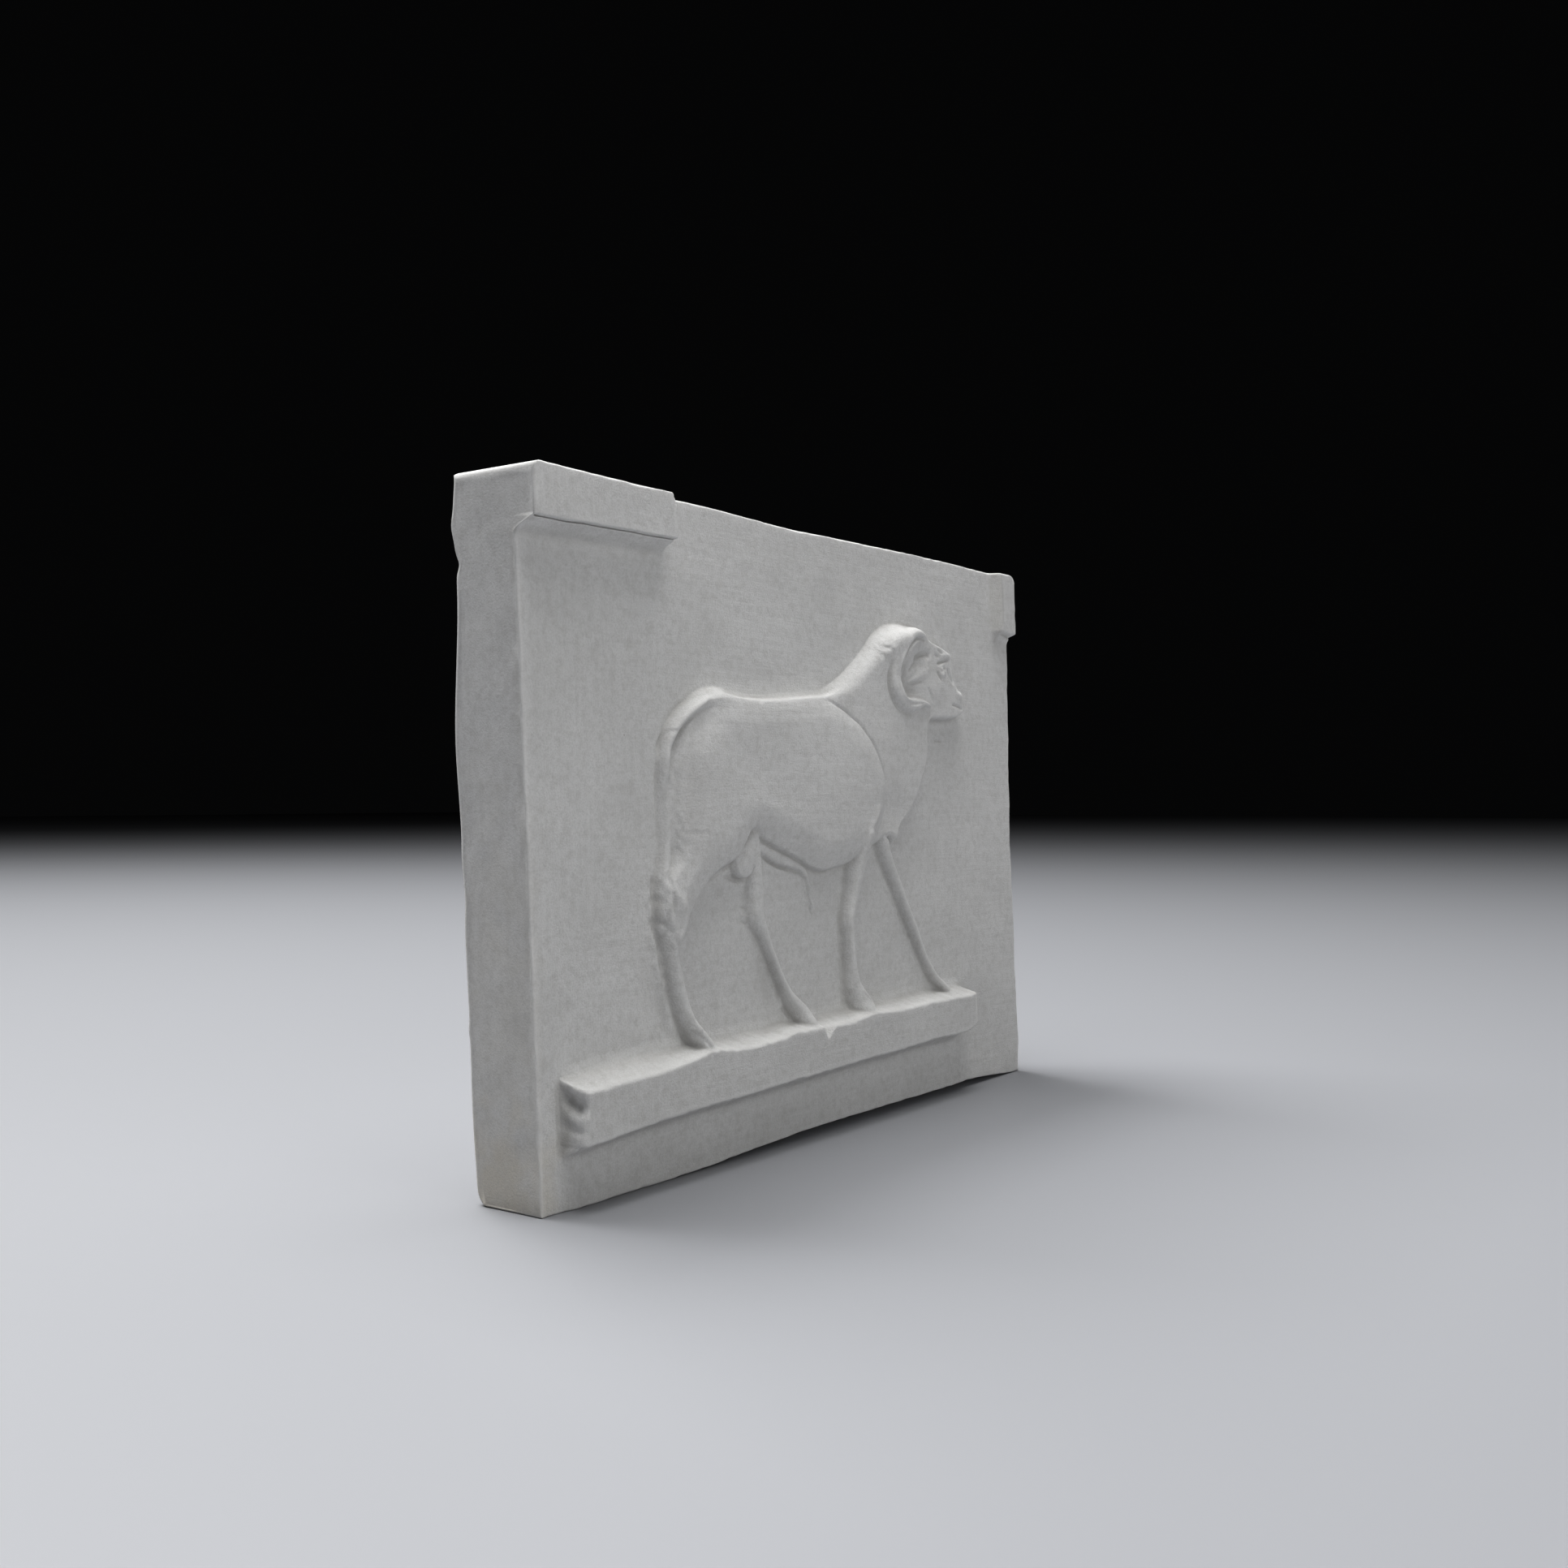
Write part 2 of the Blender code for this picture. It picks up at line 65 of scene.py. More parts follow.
BACK_LIMITS = (1, 9)      # distances from the outline where it starts and is full
EDGE_ROUND = 0.45         # radius of the arris round the face
BACK_ROUND = 1.3          # and round the back
CORNER_ROUND = 1.8        # radius of the outline at the upper left corner
TOP_RIGHT_ROUND = 3.2
FOOT_ROUND = 0.6
FOOT_CHIP = 2.4           # worn off the left side's lower corner at the back
CHIP_HEIGHT = 3.2
CHIP_LIMITS = (-82, -90)  # it starts and is full here, along the foot
SIDE_GRAIN = 0.07         # roughness of the left and right sides
SIDE_SPAN = 16            # depth over which its pattern runs

# Soft random unevenness, as layers of (size, amount, seed)
RIPPLES = [(22, 0.12, 0), (7, 0.07, 1), (2.4, 0.035, 2)]
ARRIS_WEAR = [(2.2, 0.5, 11), (9, 0.4, 12)]
BAR_WANDER = [(5, 0.22, 3), (1.7, 0.16, 4)]
BAR_BACK_WANDER = [(6, 0.25, 5)]
BLOCK_WANDER = [(4.5, 0.16, 7)]
KNOTS = 256               # random heights along each side of the grid behind them
KNOT_SHIFT = 200          # brings the whole tablet into the grid's positive corner

# Hand-cut unevenness of the left side's thickness and of the top and right edges, as (place along
# the edge, reach, amount)
SIDE_BULGES = [(121, 2.6, 0.7), (114.2, 1.6, -0.8), (84, 16, 1.1), (62, 2.5, 0.15), (54, 3, -0.35),
                (31, 1.5, 0.25), (50, 26, 0.95), (16, 12, 0.55), (82, 10, 0.3), (129.5, 3, -0.5),
                (108, 9, -0.35)]
TOP_BULGES = [(-38, 16, 0.4), (-8, 7, -0.12), (60, 9, 0.08)]
RIGHT_BULGES = [(65, 5, -0.35), (36, 5, 0.3), (27.8, 2.5, -0.25), (9, 4, 0.5), (106, 2, 0.15)]

# Blocks in the upper corners
LEFT_BLOCK_END = -52.3
LEFT_BLOCK_FOOT = 121.3
LEFT_BLOCK_CLIMB = 0.026  # its foot rises this much for each unit along x
LEFT_BLOCK_HEIGHT = 4.7
LEFT_BLOCK_COVE = 2.5     # the hollow underside dies out this far below the front
LEFT_COVE_POWER = 1.3     # and follows a curve of this power
BLOCK_LIP = 0.25
BLOCK_CORNER = 2.6        # radius of the upper corner at its right end
BLOCK_SHOULDER = 128.4    # the corner starts at this z
BLOCK_END_ROUND = 0.9
BLOCK_CUT = 1.4           # depth of the fine cut under the left block's front
BLOCK_CUT_WIDTH = 0.13
BLOCK_CUT_DROP = 0.08
BLOCK_CUT_START = -91.7   # it starts here, along x
BLOCK_CUT_PAST = 0.2      # and ends this far past the block's front
BLOCK_CUT_FADES = (1.2, 2)
RIGHT_BLOCK_START = 83.4
RIGHT_BLOCK_FOOT = 116.4
RIGHT_BLOCK_HEIGHT = 2.8
RIGHT_BLOCK_COVE = 3.4
RIGHT_COVE_POWER = 2.6
RIGHT_BLOCK_FLANK = 1.2   # width of its sloping left side

# Creases round the right block, as a middle line, a width and a height
CREASES = [([(84.5, 114.6), (84.4, 119), (84.3, 125), (84.1, 134)], 0.4, -1.2),
           ([(84.4, 116.3), (88, 116.1), (93.8, 115.4)], 0.4, -1.2)]

# Ground line: a drafted bar, as lines of (x, z)
GROUND_LEFT = -84.8
GROUND_RIGHT = 59.6
GROUND_HEIGHT = 5.5
LEFT_DRAFT = 0.7          # width of the bar's sloping left end
RIGHT_DRAFT = 1.2
UNDERCUT = 2.3            # the underside meets the panel this far below the front's foot
GROUND_TOP = [(-86, 22.7), (-79, 23.9), (-66, 24.5), (-20, 24.9), (20, 25.6), (46, 26.1), (54, 26.2),
              (61, 25)]
GROUND_FILLET = 1.4
GROUND_RAMP = 0.5         # the panel swells forward this much just above the bar
RAMP_REACH = 2            # and the swelling ends this far above it
RAMP_RISE = 2.4
RAMP_FADE = 4
GROUND_STEP = 0.9         # the underside starts this far behind the front face
GROUND_SINK = 0.5         # outside the bar its surface runs on this share of its height into the panel
BAR_FOOT_WANDER = 0.6     # share of the upper edge's wander that the front's foot has
BAR_CREASE_DEPTH = 0.8    # crease along the front's foot
BAR_CREASE_WIDTH = 0.3
BAR_ROUGHNESS = 0.17      # unevenness of the bar's top
BAR_GRAIN = 1.1
BAR_ROUGH_DROP = 1.0      # it starts this far below the front's upper edge
BAR_ROUGH_RISE = 1.5
FRONT_TOP = [(-86, 21.4), (-66, 21.7), (-56, 22.6), (-47, 23.5), (-37, 23.0), (-26, 23.2),
             (-17, 23.9), (-6, 23.6), (2, 23.5), (11, 24.3), (26, 24.0), (48, 24.2), (60, 24.1)]
FRONT_FOOT = [(-86, 11.7), (-66, 12.6), (-57, 13.1), (29, 15.1), (48, 15.2), (55, 15.6), (60, 17.6)]

# Notch in the bar's front upper edge; its sides draw in downwards by these slopes
NOTCH_LEFT, NOTCH_RIGHT, NOTCH_TOP, NOTCH_DEPTH = -9.4, -4.4, 23.8, 1.9
NOTCH_LEFT_SLOPE, NOTCH_RIGHT_SLOPE = 0.5, 1.3
NOTCH_LEFT_WALL, NOTCH_RIGHT_WALL = 0.5, 3

# Hollows broken into the left end of the bar: depth, then upper lip, deepest line and lower lip
# where the end meets the panel and where it meets the bar's front
HOLLOWS = [(1.6, (22.4, 20.4, 18.4), (21.3, 17.4, 14.8)),
           (0.4, (17.4, 15.4, 13.2), (14.4, 13.8, 13.0))]
END_MARGIN = 0.1

# Ram: outline of the whole figure
RAM_HEIGHT = 2.8
RAM_ROUND = 2.5           # width of the rounded edge on the body
FACE_ROUND = 1.2          # and on the face
FACE_LIMITS = (38, 47)    # the body's edge turns into the face's here, along x
CREST_ROUND = 2.2         # how much wider it is on the crest of the neck
TAIL_ROUND = 2.4          # and beside the root of the tail
RAM_OUTLINE = [
    (-55.7, 61), (-55.8, 66), (-55.7, 73), (-55.3, 78), (-54.3, 82.3), (-52.8, 85.6), (-50.6, 88.4),
    (-47.6, 91), (-44.6, 93), (-41.5, 94.3), (-37.4, 94.9), (-31, 94.3), (-24, 94.2), (-15, 94.9),
    (-6, 95.8), (1, 96.6), (7.6, 99.2), (13.2, 102.6), (19, 106.8), (22.4, 109.8), (26.2, 112.1),
    (30.4, 113.6), (36, 114), (41.6, 113.5), (45, 112.5), (47, 111.4), (51.4, 110.5), (55.8, 109.2),
    (57.8, 107.5), (57, 105.9), (57.4, 103.2), (59.2, 100.7), (61.8, 99.3), (63.1, 97.2), (62.3, 95.9),
    (62.6, 94.8), (61.6, 93.2), (58.8, 92.1), (54, 91.6), (49, 91.4), (45.8, 91), (44.3, 88),
    (44.4, 85), (43.4, 80.6), (41.3, 76.4), (38.8, 72), (35, 67.9), (31, 64.6), (28.4, 61.6),
    (24, 62.4), (19, 61), (14, 59), (9, 57.6), (3, 56.7), (-3, 56.2), (-8, 57.5), (-14, 59.8),
    (-21, 62.6), (-27.6, 65), (-30.6, 62.2), (-33.4, 59.4), (-38.4, 57.6), (-42.8, 55.2),
    (-46.4, 51.9), (-49.6, 47.9), (-52.4, 43.6), (-55.2, 43.2), (-57.1, 45.9), (-58, 48.4),
    (-58.3, 51), (-57.8, 54), (-57.1, 57.4)]

# Ram: regions with an edge of their own, as limits (axis, start, full)
CREST = [("x", 4, 12), ("x", 42, 36), ("z", 88, 94)]
TAIL_ROOT = [("x", -46, -52), ("z", 56, 62), ("z", 92, 84)]
BACK = [("x", -40, -32), ("x", 8, 0), ("z", 86, 92)]
BELLY = [("x", -30, -22), ("x", 14, 6), ("z", 74, 66)]
RUMP = [("x", -46, -57), ("z", 57, 65), ("z", 92, 82)]
RUMP_DROP = 0.3           # share of its height that the rump loses towards the tail

# Ram: how the height builds up inwards, as (share, start, width) and as (share, width)
BACK_STEPS = [(0.16, 0, 1.6), (0.62, 1.1, 0.5), (0.22, 0, 4.2)]
BELLY_STEPS = [(0.45, 1.4), (0.55, 8)]
DEEPEST_INSET = 12.0      # distances in from the outline are measured up to here
SWELLING_INSET = 3.5      # the broad swellings are full this far in

# Ram: the fleece ends on this line and stands above the neck
FLEECE_HEIGHT = 0.9
FLEECE_REACH = 6.5        # and is full this far behind the line and this far in from the outline
FLEECE_INSET = 7
FLEECE_LINE = [(-2.6, 94.9), (2.1, 93.3), (6, 92.1), (9.3, 90.6), (12.6, 88.9), (15.9, 86.4),
               (18.5, 83.9), (20.7, 80.6), (22.3, 77.2), (22.8, 74), (22.4, 70.6), (20.8, 67),
               (18.2, 63.6), (15.6, 60.4), (12.6, 56)]
FLEECE_BACK = [(10, 40), (-75, 40), (-75, 110), (-6, 110)]

# Ram: broad swellings as (x, z, reach along x, reach along z, height, turn in degrees)
SWELLINGS = [(3, 74, 20, 15, 0.7, 0), (-40, 70, 8, 17, 0.7, 0), (-24, 78, 4.5, 14, -0.3, 0),
             (31.5, 109.6, 9.5, 7.5, 2.3, 15), (33, 84, 7, 12, 0.3, 0), (27, 69, 7, 5, -0.7, 0),
             (-31, 68, 6, 5, 0.3, 0)]

# Head: eye, brow, nostril, cheek, hollows of the ear and of the horn's curl, pits on the crest
HEAD_SWELLINGS = [(51.6, 103, 1.2, 0.8, 0.45, 20), (52.7, 104.4, 0.5, 0.45, -0.5, 0),
                  (59.4, 98.1, 1.4, 0.9, 0.5, -35), (59.4, 99.3, 0.45, 0.4, -0.4, 0),
                  (47, 98.6, 4, 3.4, 0.35, 0), (40, 105.8, 5, 3.6, -1.1, 25),
                  (35.6, 98, 3.2, 2, -1.2, 0), (33, 101.4, 1.8, 3.8, -0.8, 0),
                  (24.6, 107.4, 0.5, 0.4, -0.4, 0), (22.6, 105.6, 0.9, 0.5, -0.15, 0),
                  (24.6, 103.9, 1.4, 0.3, -0.15, 0)]

# Ram: limbs, tail, folds, horn and ear as (x, z, half width, height) along their middle line
NEAR_HIND_LEG = [(-51.8, 60, 2.6, 2.6), (-53.4, 56, 3, 3), (-54.6, 51, 2.8, 3),
                 (-54.7, 46.4, 2.3, 2.7), (-54.2, 41.8, 2, 2.5), (-53.5, 38.6, 2.1, 2.5),
                 (-52.7, 35.4, 2.1, 2.6), (-51.6, 32.2, 2.1, 2.8), (-50.5, 29.6, 2, 3.3),
                 (-49.2, 27.4, 2, 3.9), (-47.8, 25.4, 2.2, 4.4), (-47, 23.6, 2.4, 4.5)]
FAR_HIND_LEG = [(-26.9, 64, 2.9, 1.9), (-26.2, 57, 2.5, 1.9), (-26, 51.4, 2.8, 1.9),
                (-26, 48, 2.7, 2), (-24, 44.5, 1.85, 1.9), (-22.1, 41, 1.3, 1.8),
                (-20.3, 38, 1.15, 1.8), (-18.5, 34.8, 1.1, 1.8), (-16.6, 32, 1.35, 1.9),
                (-14.9, 29.8, 1.7, 2.3), (-12.7, 27.6, 2.2, 2.9), (-11.2, 25.4, 2.5, 3.6),
                (-10.6, 23.2, 2.5, 4.2)]
NEAR_FORE_LEG = [(14.2, 64, 4.2, 4.2), (12.6, 60, 3.5, 3.6), (11, 55, 3, 3),
                 (9.6, 50.4, 2.3, 2.6), (7.5, 45.7, 2, 2.6), (7.5, 42, 1.8, 2.5),
                 (7.8, 38, 1.6, 2.5), (8.2, 34.5, 1.8, 2.5), (8.7, 31.6, 2.5, 2.7),
                 (9.4, 29.3, 3.2, 3.1), (10.6, 27.2, 3.5, 3.6), (11.4, 25.2, 3.7, 4.1),
                 (11.9, 23, 3.4, 4.6)]
FAR_FORE_LEG = [(22.6, 64, 2.6, 2.8), (24.3, 59.6, 2.15, 2.5), (26.8, 55.5, 2, 2.3),
                (29.4, 51.5, 1.8, 2.2), (32.4, 46.7, 1.55, 2.2), (35.2, 42.6, 1.5, 2.1),
                (37.9, 38.4, 1.2, 2), (40.4, 34.4, 1.1, 2), (42.7, 31.3, 1.2, 2.2),
                (44.9, 29.1, 1.25, 2.3), (47.2, 27.5, 1.3, 2.5), (48.8, 25.8, 1.4, 2.7),
                (49.4, 24, 1.2, 2.8)]
TAIL = [(-39, 92.2, 1, 1.8), (-41, 92.1, 1.2, 2.7), (-43.6, 91.3, 1.5, 3.3), (-48, 88.8, 1.7, 3.2),
        (-51.7, 85.4, 1.6, 2.6), (-53.4, 81.8, 1.5, 1.9), (-54.2, 78, 1.6, 1.2), (-54.4, 71, 1.3, 0.2)]
TUFT = [(-54.3, 67, 1, 0.1), (-54.5, 62, 1.5, 1.3), (-55.4, 57, 1.9, 2.3), (-55.8, 53, 2, 2.4),
        (-56, 49.4, 1.8, 1.9), (-55.6, 46.4, 1.4, 1.2)]
BELLY_FOLD = [(-27, 63.2, 1.6, 1), (-20, 61, 1.7, 1), (-13, 58.7, 1.6, 0.95),
              (-8.4, 56.6, 1.2, 0.9), (-6.8, 53.5, 0.9, 0.8), (-6.1, 51, 0.8, 0.75),
              (-5.4, 49, 0.65, 0.7)]
GROIN_SECTION = 0.7
GROIN = [(-28.2, 64, 1.4, 2.2), (-29.2, 61.4, 3, 2.4), (-30.2, 60.2, 3.3, 2.4), (-30.7, 59.2, 3, 2.3)]
HORN_SECTION = 1.7        # height of the horn's round part
HORN = [(44.6, 111.1, 0.8, 2.9), (41.4, 112, 1.2, 3.9), (37.5, 111.8, 1.6, 4.4),
        (33.8, 110.2, 1.9, 4.6), (30.2, 107.5, 2.2, 4.6), (28.1, 104, 2.3, 4.5), (27.5, 101, 2.3, 4.4),
        (28.1, 98, 2.3, 4.6), (30.2, 95.6, 2.2, 4.6), (33.6, 94.5, 2, 4.5), (37.2, 94.7, 1.7, 4.3),
        (40.6, 95.2, 1.2, 4.1), (43, 95, 0.8, 3.8), (44.6, 94.6, 0.4, 3.4)]
EAR_SECTION = 0.8
EAR = [(46, 103.4, 1.2, 2.6), (43.6, 102.8, 1.9, 3), (40.6, 102, 1.6, 3.2),
       (37.8, 101.1, 1.1, 3.2), (35.2, 100, 0.4, 3)]
LIMB_FILLET, EAR_FILLET, HORN_FILLET = 0.35, 0.5, 0.25
EDGE_POWER = 2.4          # rounded edges and limbs follow a curve of this power

# Fine strokes as a middle line, a width and a height: creases are negative
STROKE_REACH = 3          # a stroke is cut off this many widths from its middle line
STROKE_FADE, STROKE_ENDS = 4.5, 0.04      # it dies out over the last fifth or so of its length

# The tail's folds and strands, and the hock below it
TAIL_STROKES = [
    ([(-39.4, 90.8), (-43, 90), (-45.6, 89.2), (-48, 87.8), (-50, 86.1), (-51.4, 84.4),
      (-52.3, 82.6)], 0.36, -0.35),
    ([(-52, 83.6), (-53, 81.4), (-53.6, 78.6)], 0.32, -0.25),
    ([(-37, 90), (-41, 89), (-44.4, 87.4), (-47.6, 85), (-49.6, 82), (-50.6, 78), (-50.8, 73), (-50.6, 60)],
     3.2, -0.7),
    ([(-53.2, 83), (-54, 78), (-54.3, 72), (-54.3, 66), (-54.4, 60)], 1.3, 0.6),
    ([(-51.2, 85.6), (-53, 85.1), (-54.1, 84.2), (-55, 82.8), (-55.8, 81)], 0.4, -0.4),
    ([(-55.9, 80), (-56.2, 74), (-56.2, 68), (-56, 62)], 0.35, -0.3),
    ([(-54, 79), (-54.5, 73), (-54.5, 66), (-54.4, 61)], 0.35, 0.16),
    ([(-52.8, 65.5), (-49, 65.7), (-45, 65.6)], 0.4, -0.12),
    ([(-57, 56.6), (-55, 54.2), (-52.8, 51.4), (-52.2, 48), (-52.8, 44.6), (-53.2, 41)], 1.2, 0.5),
    ([(-58.2, 57.6), (-58.2, 53.8), (-58, 48)], 0.4, -0.35),
    ([(-55.6, 58), (-55.5, 53.4), (-55.4, 49.6)], 0.28, -0.45),
    ([(-55, 57.6), (-54.9, 53.4), (-54.9, 50)], 0.2, 0.25),
    ([(-57.6, 49.6), (-56.4, 48), (-55.4, 46.4)], 0.6, -0.45),
    ([(-57.3, 48.4), (-57.2, 46.1)], 0.45, 0.35),
    ([(-57.4, 46), (-57, 41), (-56, 36), (-54.2, 30), (-52.6, 26.6)], 1.2, 0.4),
    ([(-57.4, 48), (-57, 43), (-56.4, 38)], 0.35, -0.3)]

# The back, the fleece's edge, the belly, the sheath, the groin, the chest and the shoulder
BODY_STROKES = [
    ([(-50, 88), (-45, 91.6), (-38, 93.7), (-24, 93), (-6, 94.7), (4, 96.9)], 2.2, 0.42),
    (FLEECE_LINE[:10], 0.4, -0.35),
    ([(-28.2, 67.1), (-25.5, 65.6), (-21.2, 64.6), (-15.4, 64), (-7.8, 63.6), (-2.2, 62.7)], 0.45, -0.16),
    ([(-26.4, 64.9), (-23.7, 63.4), (-18, 61.4), (-12.1, 59.5), (-6.1, 57.2), (-3, 56.5), (0.2, 56.4),
      (5.1, 57.3)], 0.3, -0.55),
    ([(-25, 61.2), (-22.2, 60.1), (-19.4, 58.8), (-16.5, 57.9), (-10.6, 56.8), (-8.2, 55.5),
      (-7.1, 53.7), (-5.8, 48.9), (-5.2, 46.4)], 0.34, -0.95),
    ([(-30.6, 63.4), (-31.6, 60.6), (-34, 58.6), (-38, 57), (-42, 54.8)], 0.35, -0.35),
    ([(-36, 57), (-34, 56.4), (-31.4, 55.8), (-29, 55.4)], 0.7, -0.5),
    ([(21.6, 64), (25.1, 62.8), (27.6, 61.6)], 0.4, -0.5),
    ([(18.4, 62.6), (17.4, 61), (15.8, 58.6), (15.2, 56.4)], 0.55, -0.7),
    ([(19.1, 71.2), (16.4, 67.5), (13.2, 64), (12, 59.6)], 1.3, 0.35)]

# The horn, the ear, the brow, the eye, the nostril, the mouth and the tuft under the chin
HEAD_STROKES = [
    ([(31.2, 105.2), (32.2, 107), (34.5, 109), (37.6, 110.5), (41.1, 111), (43.6, 110.5)], 0.36, -0.75),
    ([(33, 108.6), (31, 106.6), (29.9, 105.1), (29.2, 102.4), (29, 99.7), (29.6, 97.4), (31.1, 95.8),
      (34.9, 95.9), (38.7, 96), (41.8, 95.5)], 0.5, 0.5),
    ([(31.4, 105.2), (30.6, 103), (30.3, 100.4), (30.9, 98.2), (32.4, 97)], 0.45, -0.55),
    ([(26.6, 105), (25.7, 101.6), (26, 98.2), (27.8, 95.2), (30.6, 93.6), (34, 93), (38, 93.6)], 0.7, -0.6),
    ([(31.4, 94.9), (34.5, 94.7), (37.8, 95), (40.4, 95.1)], 0.4, -0.3),
    ([(37.4, 105.4), (39, 106), (41.3, 106.8), (44.8, 107.5), (46.6, 107.4)], 0.75, -0.8),
    ([(34.4, 102.2), (36, 103.4), (38, 104.3), (41.9, 105.1)], 0.5, -0.55),
    ([(44.8, 106.6), (44.4, 104.8), (44.2, 103)], 0.5, 0.25),
    ([(34.8, 99.6), (37.9, 100.2), (41.8, 100.6)], 0.4, -0.35),
    ([(48.8, 105.4), (50.4, 105.7), (52.8, 106.3), (56, 106.8)], 0.36, -0.65),
    ([(50.6, 107.3), (52.5, 107.8), (54.5, 107.9), (56, 107.7)], 0.5, 0.2),
    ([(47.8, 107.6), (49.2, 107.3), (50.6, 107)], 0.35, -0.35),
    ([(49.2, 108.9), (50.8, 108.4), (52, 107.8)], 0.35, -0.25),
    ([(48.9, 103.6), (49.4, 103), (50.2, 102.2), (51, 101.4)], 0.45, -0.5),
    ([(50.4, 104.2), (51.6, 104.2), (52.8, 103.4)], 0.3, 0.25),
    ([(54.1, 104.8), (54.6, 103.6), (55.8, 102.2), (57.2, 100.6)], 0.45, -0.55),
    ([(55.6, 95.7), (57, 95.6), (59.3, 95.3), (61.3, 94.7)], 0.3, -0.7),
    ([(43.7, 99.5), (45.1, 97.6), (46.5, 95.5)], 0.4, -0.3),
    ([(51, 86.7), (53, 86.6), (55.2, 86.6)], 0.3, -0.45),
    ([(51.4, 91), (51.6, 88), (51.8, 85)], 0.8, -0.2),
    ([(55.8, 91), (55.6, 88.6), (55.4, 86)], 0.6, 0.15)]

# The far hind leg's hock and the hooves
LEG_STROKES = [
    ([(-31, 50), (-29.8, 50), (-28.8, 49.7)], 0.3, -0.35),
    ([(-31, 48.6), (-29.8, 48.4), (-28.9, 48)], 0.3, 0.3),
    ([(-31.2, 47.2), (-29.8, 47), (-28.6, 46.4)], 0.3, -0.35),
    ([(-50.4, 29.4), (-48.6, 27.6), (-47, 25.8), (-45.4, 23.8)], 0.35, 0.35),
    ([(-51, 27.6), (-49.6, 26.8), (-48.2, 25.2), (-47.2, 23.8)], 0.4, -0.6),
    ([(9.4, 30.4), (11.2, 28.4), (13.4, 26.2), (14.2, 25)], 0.35, 0.35),
    ([(-17.4, 28.4), (-15.6, 27.2), (-14.4, 25.6)], 0.6, -0.5),
    ([(-15.8, 31.4), (-13.2, 29.4), (-10.4, 27.2), (-8.6, 25.4)], 0.35, 0.25)]

# Shallow hollows worn into the panel beside the legs, in the same form as the swellings
WASH_LIMIT = 0.6          # they die out on anything that stands higher than this
WASHES = [(-21, 33, 5, 10, -0.5, 25), (3, 32, 4, 9, -0.35, 0), (33.5, 36, 4, 9, -0.4, 30),
          (-58, 33, 4, 11, -0.3, 0), (-38, 52, 8, 4, -0.5, 25)]

# Rough places as (x, z, reach along x, reach along z, height, turn)
ROUGH = [(-57.6, 50, 2.4, 8, 0.35, 0), (-55.4, 37, 1.3, 11, 0.28, -9), (-49.6, 27, 2, 3, 0.35, 0),
         (7, 29, 1.8, 3, 0.4, 0), (6, 40, 0.9, 9, 0.3, 0), (24.4, 106.2, 3.6, 2.8, 0.35, 0),
         (-52, 68, 2, 12, 0.16, 0), (-66, 22.6, 9, 1.2, 0.16, 0), (33.4, 41.6, 0.9, 9, 0.25, 38),
         (-81, 4.2, 2.4, 3, 0.35, 0), (-18.6, 31, 1.4, 4, 0.25, 25), (-54, 80, 2, 6, 0.1, 0),
         (52, 107.6, 3, 1.2, 0.14, 0), (-84, 16, 2, 5, 0.2, 0)]
ROUGH_GRAIN = 0.6
ROUGH_STRETCH = 0.45      # the roughness is drawn out upwards, by one over this

# Darker places, in the same form, with the amount instead of the height. Those under the left block (-66,
# 112) and under the right block (86, 112.5) are painted shadow, and the one in the crease on the right
# block's left side (84.6, 124) is painted shade; the rest darken places beside the legs, at the hooves, on
# the bar's ends and round the head, and the one with a negative amount makes the top of the horn lighter.
SHADE_AND_DIRT_PATCHES = [(6.6, 28.6, 1.2, 3.2, 0.8, 0), (-22.5, 34, 2, 6.5, 0.5, 22), (-55.6, 39, 1.4, 9, 0.55, -8),
        (-61, 42, 4, 9, 0.22, 0), (-91.6, 121.4, 1.3, 1.3, 1.6, 0), (-48.4, 78, 3, 8, 0.3, 0),
        (-49.5, 68, 2.6, 8, 0.35, 0), (-34, 84, 5, 3, 0.15, 0), (-58, 50, 1.4, 6, 0.6, 0),
        (-50.8, 28, 1.4, 3, 0.4, 0), (36, 98, 3.6, 2.2, 0.6, 0), (32.6, 101.2, 1.4, 4, 1.1, 0),
        (40.6, 106.2, 3.4, 1.4, 0.5, 15), (-81, 4.4, 2.2, 3, 0.4, 0), (-84.6, 19.8, 1.4, 1.8, 0.3, 0),
        (-33, 56, 2.4, 0.8, 0.5, -15), (50.4, 103.4, 1.6, 2.2, 0.5, 0), (5.6, 39, 0.9, 9, 0.35, 0),
        (34, 41, 1, 8, 0.25, 35), (86, 112.5, 3, 2.2, 0.25, 0), (84.6, 124, 0.8, 8.5, 2.2, 0),
        (59.2, 20, 0.7, 4, 0.5, 0), (46.5, 103.5, 3, 3, 0.35, 0), (26, 100, 1, 6, 0.4, 0),
        (38, 111.6, 5, 1.4, -0.6, 0), (-66, 112, 8, 3, 0.12, 0)]
RUBBED_AMOUNT = 0.7       # the arris round the face is rubbed clean
RUBBED_WIDTH = 0.5
SIDE_DIRT = 0.5           # and the sides are dirty just behind it
SIDE_DIRT_DEPTH = 0.09    # to this share of their depth
HOLLOW_REACH = 1.2        # hollows are darkened, as painted shade together with dirt, where the ground this far around is higher
HOLLOW_TURNS = 8

# Mesh
FINE_LEFT, FINE_RIGHT = -64.0, 66.0       # the face is sampled finely between these
FINE_FOOT, FINE_TOP = 8.0, 126.0
FINE_STEP = 0.27
COARSE_STEP = 0.9
RIM_CUTS = 18
EDGE_CUTS = 12
MOST_TRIANGLES = 190000

# Places with more samples, as (low, high, count): the bar's left end, the right block's left side
# and the cut under the left block
FINER_ACROSS = [(GROUND_LEFT, GROUND_LEFT + LEFT_DRAFT, 9),
                (RIGHT_BLOCK_START - 0.6, RIGHT_BLOCK_START + 2.4, 16)]
FINER_UP = [(LEFT_BLOCK_FOOT - 0.8, LEFT_BLOCK_FOOT + 1.4, 23)]

